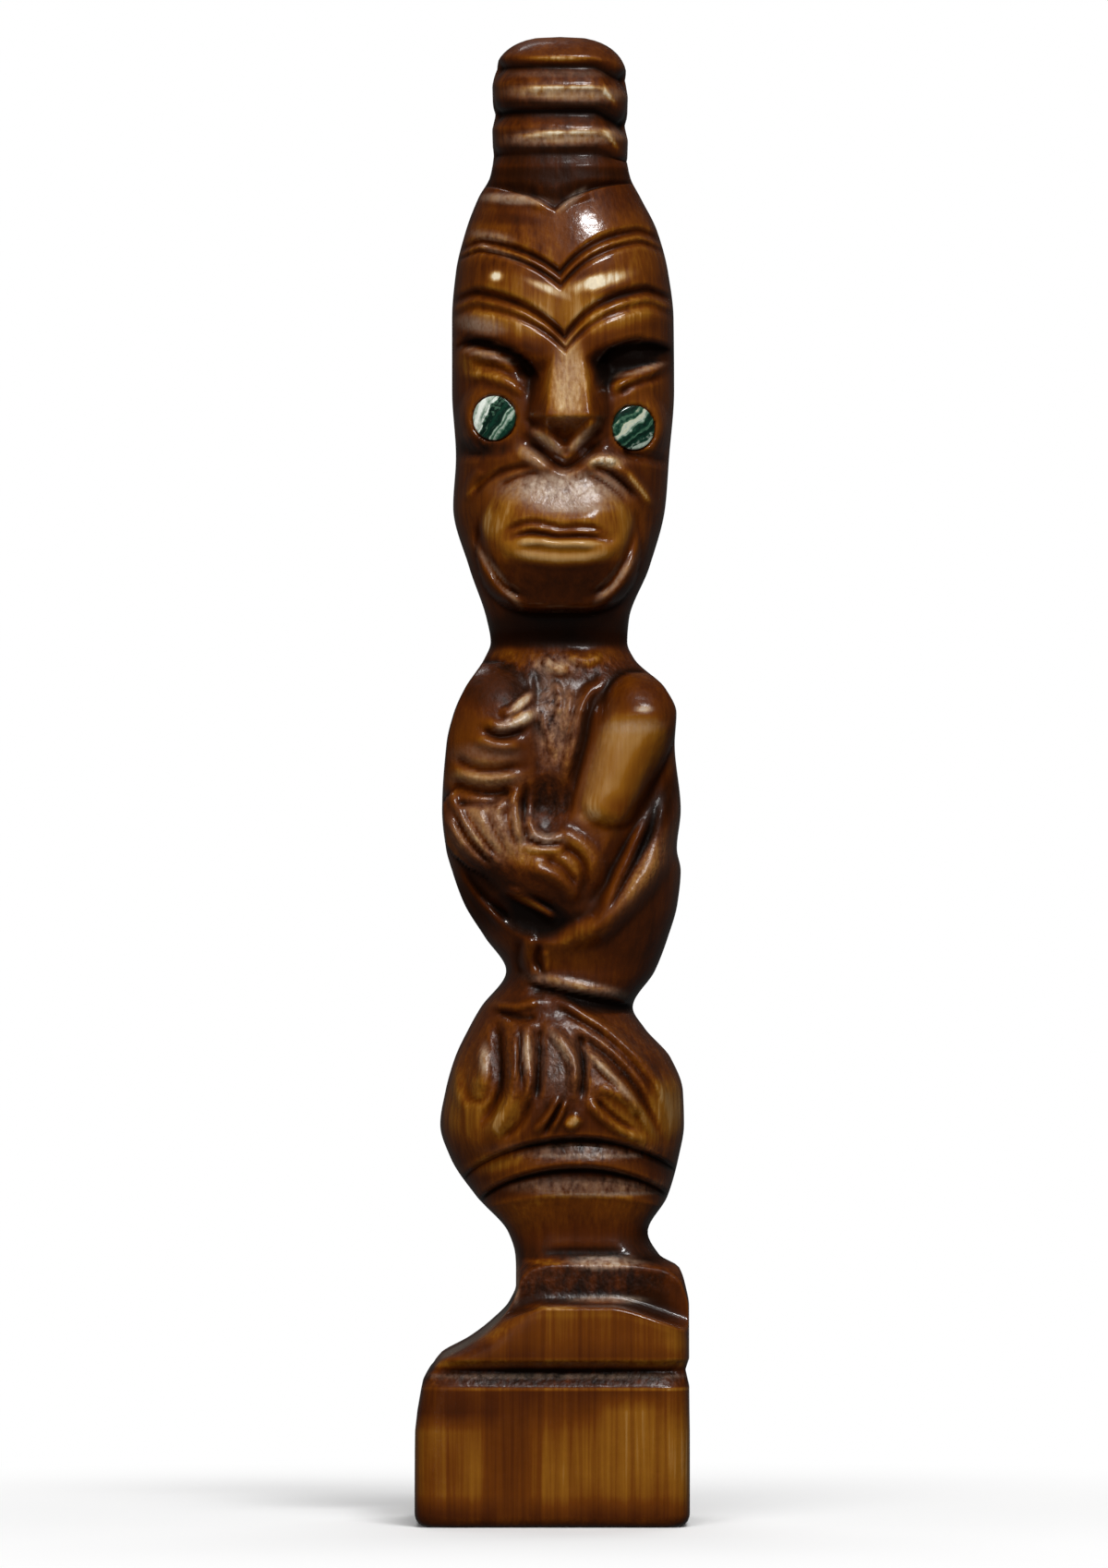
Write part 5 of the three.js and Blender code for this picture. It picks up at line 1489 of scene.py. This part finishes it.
class NodeKit:
    """A short way to wire a material's nodes."""

    def __init__(self, name: str) -> None:
        """Starts a material that holds one Principled shader.

        Args:
            name: the material's name.
        """
        self.material = bpy.data.materials.new(name)
        self.material.use_nodes = True
        self.tree = self.material.node_tree
        self.shader = self.tree.nodes["Principled BSDF"]

    def add(self, kind: str, **values: object) -> bpy.types.Node:
        """Adds a node.

        Args:
            kind: its type.
            values: its own properties by name.

        Returns:
            The node.
        """
        node = self.tree.nodes.new(kind)
        for name, value in values.items():
            setattr(node, name, value)
        return node

    def link(self, source: bpy.types.NodeSocket, target: bpy.types.NodeSocket) -> None:
        """Joins an output to an input."""
        self.tree.links.new(source, target)

    def noise(self, stretch: tuple[float, float, float], scale: float, detail: float) -> bpy.types.NodeSocket:
        """Noise in the solid wood, stretched along the axes.

        Args:
            stretch: how quickly it varies along X, Y and Z.
            scale: its scale for each metre.
            detail: its octaves.

        Returns:
            The noise's output.
        """
        place_at = self.add("ShaderNodeTexCoord")
        mapping = self.add("ShaderNodeMapping")
        mapping.inputs["Scale"].default_value = stretch
        texture = self.add("ShaderNodeTexNoise")
        texture.inputs["Scale"].default_value = scale
        texture.inputs["Detail"].default_value = detail
        self.link(place_at.outputs["Object"], mapping.inputs["Vector"])
        self.link(mapping.outputs["Vector"], texture.inputs["Vector"])
        return texture.outputs["Fac"]

    def math(self, kind: str, a: Value, b: Value) -> bpy.types.NodeSocket:
        """One arithmetic step.

        Args:
            kind: the operation.
            a: its first socket or number.
            b: its second socket or number.

        Returns:
            The step's output.
        """
        node = self.add("ShaderNodeMath", operation=kind)
        for socket, value in zip(node.inputs, (a, b)):
            if isinstance(value, bpy.types.NodeSocket):
                self.link(value, socket)
            else:
                socket.default_value = value
        return node.outputs[0]

    def times(self, a: Value, b: Value) -> bpy.types.NodeSocket:
        """The product of two sockets or numbers."""
        return self.math("MULTIPLY", a, b)

    def plus(self, a: Value, b: Value) -> bpy.types.NodeSocket:
        """The sum of two sockets or numbers."""
        return self.math("ADD", a, b)

    def centred(self, noise: bpy.types.NodeSocket) -> bpy.types.NodeSocket:
        """A noise less a half, so that it lies around 0."""
        return self.math("SUBTRACT", noise, 0.5)

    def attribute(self, name: str) -> bpy.types.NodeSocket:
        """The value of one of the piece's own attributes."""
        return self.add("ShaderNodeAttribute", attribute_name=name).outputs["Fac"]

    def ramp(self, factor: bpy.types.NodeSocket, stops: Stops) -> bpy.types.NodeSocket:
        """A colour ramp over a factor.

        Args:
            factor: what it runs over.
            stops: the places from 0 to 1, each with its colour.

        Returns:
            The ramp's colour.
        """
        node = self.add("ShaderNodeValToRGB")
        elements = node.color_ramp.elements
        while len(elements) < len(stops):
            elements.new(0.5)
        for element, (at, colour) in zip(elements, stops):
            element.position = at
            element.color = (*colour, 1)
        self.link(factor, node.inputs["Fac"])
        return node.outputs["Color"]


@dataclass(frozen=True)
class StainedWood:
    """Dark stain under a glossy lacquer: golden where it is thin, nearly black where it has pooled and where
    shade is painted, and pale cream where highlights are painted.
    """

    # the colour of the painted pale sheen
    painted_sheen: Colour = (0.33, 0.245, 0.175)
    # tones above 1, scaled by tone_scale, reach the pale cream of the top stop, which is kept for painted
    # highlights
    stops: Stops = (
        (0.0, (0.0032, 0.0011, 0.0004)),
        (0.16, (0.018, 0.0042, 0.0006)),
        (0.32, (0.054, 0.0108, 0.0006)),
        (0.48, (0.113, 0.028, 0.001)),
        (0.64, (0.21, 0.078, 0.005)),
        (0.8, (0.4, 0.235, 0.085)),
        (1.0, (0.75, 0.65, 0.46)),
    )
    streak_share: float = 0.75
    fine_share: float = 0.5
    cloud_share: float = 0.3
    speck_share: float = 0.6
    chip_share: float = 1.1
    tone_scale: float = 0.8
    # how much of the painted pale sheen there is, and how specks and chips mottle it
    sheen_plain: float = 0.85
    sheen_specks: float = 1.7
    sheen_chips: float = 5.0
    roughness: float = 0.5
    specular: float = 0.1
    blur_plain: float = 0.15
    blur_rough: float = 0.2
    blur_exported: float = 0.16
    lump_share: float = 0.8
    chatter_share: float = 1.6
    bump_distance: float = 0.0005
    bumps: tuple[tuple[str, float, float], ...] = (("Normal", 0.5, 0.3), ("Coat Normal", 0.22, 0.0))

    def make(self) -> bpy.types.Material:
        """Builds the material.

        Returns:
            The material. Grain, clouds, specks and chips are added to the tone, which runs through the
            ramp, and a painted pale sheen, standing for highlights, is washed over that.
        """
        kit = NodeKit("stained_wood")
        streaks = kit.noise((1, 1, 0.03), 460, 4)
        fine = kit.noise((1, 1, 0.02), 1700, 3)
        clouds = kit.noise((1, 1, 0.5), 70, 3)
        stain = kit.attribute("tone")
        grain = kit.times(kit.centred(streaks), self.streak_share)
        grain = kit.plus(grain, kit.times(kit.centred(fine), self.fine_share))
        grain = kit.times(grain, kit.attribute("grain"))
        tone = kit.plus(stain, kit.times(grain, stain))
        tone = kit.plus(tone, kit.times(kit.centred(clouds), self.cloud_share))
        rough = kit.attribute("rough")
        specks = kit.centred(kit.noise((1, 1, 0.8), 1500, 2))
        marks = kit.times(specks, kit.times(rough, stain))
        tone = kit.plus(tone, kit.times(marks, self.speck_share))
        chips = kit.centred(kit.noise((1, 1, 0.5), 780, 3))
        chips = kit.times(chips, kit.attribute("chips"))
        tone = kit.plus(tone, kit.times(chips, self.chip_share))
        # the painted pale sheen, mottled, is mixed over the ramp's colour
        sheen_mottle = kit.plus(kit.times(specks, self.sheen_specks), self.sheen_plain)
        sheen_mottle = kit.plus(sheen_mottle, kit.times(chips, self.sheen_chips))
        sheen_mix = kit.add("ShaderNodeMix", data_type="RGBA")
        kit.link(kit.times(sheen_mottle, kit.attribute("painted_sheen")), sheen_mix.inputs[MIX_FACTOR])
        kit.link(kit.ramp(kit.times(tone, self.tone_scale), self.stops), sheen_mix.inputs[MIX_FIRST])
        sheen_mix.inputs[MIX_SECOND].default_value = (*self.painted_sheen, 1)
        kit.link(sheen_mix.outputs[MIX_COLOUR], kit.shader.inputs["Base Color"])
        kit.shader.inputs["Roughness"].default_value = self.roughness
        kit.shader.inputs["Specular IOR Level"].default_value = self.specular
        kit.link(kit.attribute("gloss"), kit.shader.inputs["Coat Weight"])
        blur = kit.plus(kit.times(rough, self.blur_rough), self.blur_plain)
        # the socket's own value, which stands where the link below is not kept; an
        # export that drops the link below is left with this value
        kit.shader.inputs["Coat Roughness"].default_value = self.blur_exported
        kit.link(blur, kit.shader.inputs["Coat Roughness"])
        lumps = kit.noise((1, 1, 0.8), 420, 4)
        chatter = kit.times(kit.noise((1, 1, 0.8), 1100, 2), kit.times(rough, self.chatter_share))
        for name, strength, grain_share in self.bumps:
            height = kit.plus(kit.times(lumps, self.lump_share), kit.times(fine, grain_share))
            height = kit.plus(height, chatter)
            bump = kit.add("ShaderNodeBump")
            bump.inputs["Strength"].default_value = strength
            bump.inputs["Distance"].default_value = self.bump_distance
            kit.link(height, bump.inputs["Height"])
            kit.link(bump.outputs["Normal"], kit.shader.inputs[name])
        return kit.material


SILVER = (0.4, 0.47, 0.39)
WHITE = (0.84, 0.88, 0.8)
PALE = (0.58, 0.58, 0.42)
LIGHT_GREEN = (0.06, 0.14, 0.085)
EMERALD = (0.004, 0.036, 0.02)
DEEP = (0.001, 0.008, 0.005)


@dataclass(frozen=True)
class PolishedShell:
    """Bands across a disc, bent by noise, under a clear polish."""

    lean: float
    stops: Stops
    bend: float = 0.4
    speckle: float = 0.18
    streaks: float = 0.34
    streak_scale: float = 11.0
    roughness: float = 0.25
    metallic: float = 0.15
    coat: float = 1.0
    coat_roughness: float = 0.05

    def make(self, seat: EyeSeat) -> bpy.types.Material:
        """Builds the material for one disc.

        Args:
            seat: the disc's seat, whose middle the bands are centred on.

        Returns:
            The material.
        """
        kit = NodeKit(f"{seat.name}_bands")
        size = 2 * seat.radius * MM
        direction = (math.cos(self.lean) / size, 0, math.sin(self.lean) / size)
        offset = 0.5 - (seat.x * direction[0] + seat.z * direction[2]) * MM
        along = kit.add("ShaderNodeVectorMath", operation="DOT_PRODUCT")
        kit.link(kit.add("ShaderNodeTexCoord").outputs["Object"], along.inputs[0])
        along.inputs[1].default_value = direction
        bend = kit.times(kit.centred(kit.noise((1, 1, 1), 220, 2)), self.bend)
        speckle = kit.times(kit.centred(kit.noise((1, 1, 1), 1500, 4)), self.speckle)
        band = kit.plus(kit.plus(along.outputs["Value"], offset), bend)
        lines = kit.add("ShaderNodeTexNoise", noise_dimensions="1D")
        lines.inputs["Scale"].default_value = self.streak_scale
        kit.link(band, lines.inputs["W"])
        streaks = kit.times(kit.centred(lines.outputs["Fac"]), self.streaks)
        band = kit.plus(kit.plus(band, streaks), speckle)
        kit.link(kit.ramp(band, self.stops), kit.shader.inputs["Base Color"])
        kit.shader.inputs["Roughness"].default_value = self.roughness
        kit.shader.inputs["Metallic"].default_value = self.metallic
        kit.shader.inputs["Coat Weight"].default_value = self.coat
        kit.shader.inputs["Coat Roughness"].default_value = self.coat_roughness
        return kit.material


@dataclass(frozen=True)
class ShellDisc:
    """One disc of polished shell, slightly domed, with its own bands of green, silver and black."""

    seat: EyeSeat
    finish: PolishedShell
    proud: float = 0.25
    crown: float = 0.35
    bottom: float = -1.0
    dome_inset: float = 0.2
    foot: Points = ((-0.4, 0.0), (-0.1, 0.1), (0.0, 0.4))
    rim: Points = ((0.0, -0.25), (-0.06, -0.1))
    rings: int = 20
    sides: int = 96

    def profile(self) -> np.ndarray:
        """The disc's section, from under its middle round to its top.

        Returns:
            Radius and height, one point to a row. The dome falls off by the square of the radius.
        """
        r = self.seat.radius
        share = np.linspace(1, 0, self.rings)[:-1]
        dome = np.stack([share * (r - self.dome_inset), self.proud + self.crown * (1 - share**2)], -1)
        foot = np.array([r, self.bottom]) + np.array(self.foot)
        rim = np.array([r, self.proud]) + np.array(self.rim)
        return np.concatenate([foot, rim, dome])

    def build(self) -> bpy.types.Object:
        """The disc as one closed mesh, turned to face out of its cheek.

        Returns:
            The new object, at the origin. Every ring of the mesh is the profile's radius times
            the sine and cosine of the turn.
        """
        profile = self.profile()
        turn = np.arange(self.sides) * 2 * math.pi / self.sides
        radius, height = profile[:, :1], profile[:, 1:]
        across, up = radius * np.sin(turn), radius * np.cos(turn)
        out = np.broadcast_to(height, across.shape)
        ends = np.array([[0, 0, self.bottom], [0, 0, self.proud + self.crown]])
        flat = np.concatenate([np.stack([across, up, out], -1).reshape(-1, 3), ends])
        a = math.radians(self.seat.turn)
        x = self.seat.x + flat[:, 0] * math.cos(a) + flat[:, 2] * math.sin(a)
        y = -self.seat.depth + flat[:, 0] * math.sin(a) - flat[:, 2] * math.cos(a)
        points = np.stack([x, y, self.seat.z + flat[:, 1]], -1) * MM
        made = place(ringed_mesh(f"{self.seat.name}_polished", points, self.sides, True))
        made.data.materials.append(self.finish.make(self.seat))
        return made


LEFT_BANDS = (
    (0.0, EMERALD), (0.1, SILVER), (0.18, WHITE), (0.27, SILVER), (0.31, LIGHT_GREEN), (0.36, WHITE),
    (0.41, LIGHT_GREEN), (0.45, DEEP), (0.57, EMERALD), (0.66, DEEP), (0.73, LIGHT_GREEN), (0.78, SILVER),
    (0.84, LIGHT_GREEN), (0.89, EMERALD), (1.0, DEEP),
)
RIGHT_BANDS = (
    (0.0, LIGHT_GREEN), (0.12, SILVER), (0.19, EMERALD), (0.27, DEEP), (0.33, EMERALD), (0.38, LIGHT_GREEN),
    (0.43, EMERALD), (0.48, DEEP), (0.54, LIGHT_GREEN), (0.6, SILVER), (0.66, PALE), (0.71, LIGHT_GREEN),
    (0.77, EMERALD), (0.84, DEEP), (1.0, EMERALD),
)


@dataclass(frozen=True)
class Studio:
    """Pale floor, soft lights and a level camera in front."""

    distance: float = 2.6
    sensor: float = 36.0
    frame_tall: float = 0.2844
    aim: Span = (0.0004, 0.1337)
    sight: float = 20.0
    middle: tuple[float, float, float] = (0.0, 0.0, 0.13)
    warm: Colour = (1, 0.97, 0.93)
    glow: float = 0.035
    floor_radius: float = 6.0
    floor_sides: int = 96
    floor_grey: float = 0.9
    floor_roughness: float = 0.9
    fade: Span = (0.04, 0.24)

    def camera(self) -> None:
        """A level camera straight in front, far off with a long lens."""
        data = bpy.data.cameras.new("camera")
        data.sensor_width = self.sensor
        data.lens = self.sensor * self.distance / self.frame_tall
        data.clip_end = self.sight
        made = bpy.data.objects.new("camera", data)
        made.location = (self.aim[0], -self.distance, self.aim[1])
        made.rotation_euler = (math.pi / 2, 0, 0)
        bpy.context.scene.collection.objects.link(made)
        bpy.context.scene.camera = made

    def light(
        self, name: str, at: tuple[float, float, float], size: Span, watts: float, mirrored: bool
    ) -> None:
        """Adds a soft oval light that faces the middle of the figure.

        Args:
            name: its name.
            at: its place in metres.
            size: its width and height in metres.
            watts: its power.
            mirrored: whether the lacquer mirrors it.
        """
        data = bpy.data.lights.new(name, "AREA")
        data.shape = "ELLIPSE"
        data.size, data.size_y = size
        data.energy = watts
        made = bpy.data.objects.new(name, data)
        made.location = at
        aim = Vector(self.middle) - made.location
        made.rotation_euler = aim.to_track_quat("-Z", "Y").to_euler()
        made.visible_glossy = mirrored
        bpy.context.scene.collection.objects.link(made)

    def lights(self) -> None:
        """Three lamps that the lacquer mirrors, and broad soft light from the front, above and behind."""
        self.light("key", (0.46, -1.15, 1.18), (0.44, 0.11), 9, True)
        self.light("lamp", (0.3, -0.75, 1.5), (0.6, 0.2), 7, True)
        self.light("back lamp", (-0.3, 0.8, 1.4), (0.6, 0.2), 3, True)
        self.light("overhead", (0.0, -0.9, 1.4), (0.8, 0.8), 7, False)
        self.light("front", (-0.5, -1.8, 0.5), (1, 1), 23, False)
        self.light("behind", (0.5, 1.7, 1.0), (2, 2), 20, False)

    def world(self) -> None:
        """A surround that is white to the camera and a faint warm light to everything else."""
        world = bpy.data.worlds.new("surround")
        bpy.context.scene.world = world
        world.use_nodes = True
        tree = world.node_tree
        shown = tree.nodes["Background"]
        shown.inputs[0].default_value = (1, 1, 1, 1)
        lit = tree.nodes.new("ShaderNodeBackground")
        lit.inputs[0].default_value = (*self.warm, 1)
        lit.inputs[1].default_value = self.glow
        path = tree.nodes.new("ShaderNodeLightPath")
        mix = tree.nodes.new("ShaderNodeMixShader")
        tree.links.new(path.outputs["Is Camera Ray"], mix.inputs[0])
        tree.links.new(lit.outputs[0], mix.inputs[1])
        tree.links.new(shown.outputs[0], mix.inputs[2])
        tree.links.new(mix.outputs[0], tree.nodes["World Output"].inputs[0])

    def floor(self) -> None:
        """A wide pale floor that takes the shadow near the foot and fades to the white of the surround."""
        sides = self.floor_sides
        angles = np.linspace(0, 2 * math.pi, sides + 1)[:-1]
        ring = np.stack([np.cos(angles), np.sin(angles), np.zeros(sides)], -1) * self.floor_radius
        points = np.concatenate([ring, np.zeros((1, 3))])
        i = np.arange(sides)
        tris = np.stack([i, (i + 1) % sides, np.full(sides, sides)], -1)
        made = place(closed_mesh("floor", points, np.zeros((0, 4), int), tris))
        kit = NodeKit("pale_floor")
        kit.shader.inputs["Base Color"].default_value = (*[self.floor_grey] * 3, 1)
        kit.shader.inputs["Roughness"].default_value = self.floor_roughness
        length = kit.add("ShaderNodeVectorMath", operation="LENGTH")
        kit.link(kit.add("ShaderNodeTexCoord").outputs["Object"], length.inputs[0])
        fade = kit.add("ShaderNodeMapRange", interpolation_type="SMOOTHSTEP")
        fade.inputs["From Min"].default_value = self.fade[0]
        fade.inputs["From Max"].default_value = self.fade[1]
        kit.link(length.outputs["Value"], fade.inputs["Value"])
        white = kit.add("ShaderNodeEmission")
        mix = kit.add("ShaderNodeMixShader")
        kit.link(fade.outputs["Result"], mix.inputs[0])
        kit.link(kit.shader.outputs[0], mix.inputs[1])
        kit.link(white.outputs[0], mix.inputs[2])
        kit.link(mix.outputs[0], kit.tree.nodes["Material Output"].inputs["Surface"])
        made.data.materials.append(kit.material)
        made.visible_glossy = False
        made.visible_diffuse = False


def main() -> None:
    """Builds the studio, the wood and the discs."""
    logging.basicConfig(level=logging.INFO, format="%(name)s: %(message)s")
    studio = Studio()
    studio.camera()
    studio.lights()
    studio.world()
    studio.floor()
    bpy.context.scene.view_settings.view_transform = "Standard"
    wood = Carving().build()
    wood.data.materials.append(StainedWood().make())
    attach(wood, "root")
    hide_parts("carved_figure")
    LOG.info("%s: %d points", wood.name, len(wood.data.vertices))
    left, right = Face().seats
    finishes = (PolishedShell(-0.54, LEFT_BANDS), PolishedShell(2.24, RIGHT_BANDS))
    for disc in (ShellDisc(left, finishes[0]), ShellDisc(right, finishes[1])):
        shell = disc.build()
        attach(shell, "root")
        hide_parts(disc.seat.name)
        LOG.info("%s: %d points", shell.name, len(shell.data.vertices))


if __name__ == "__main__":
    main()
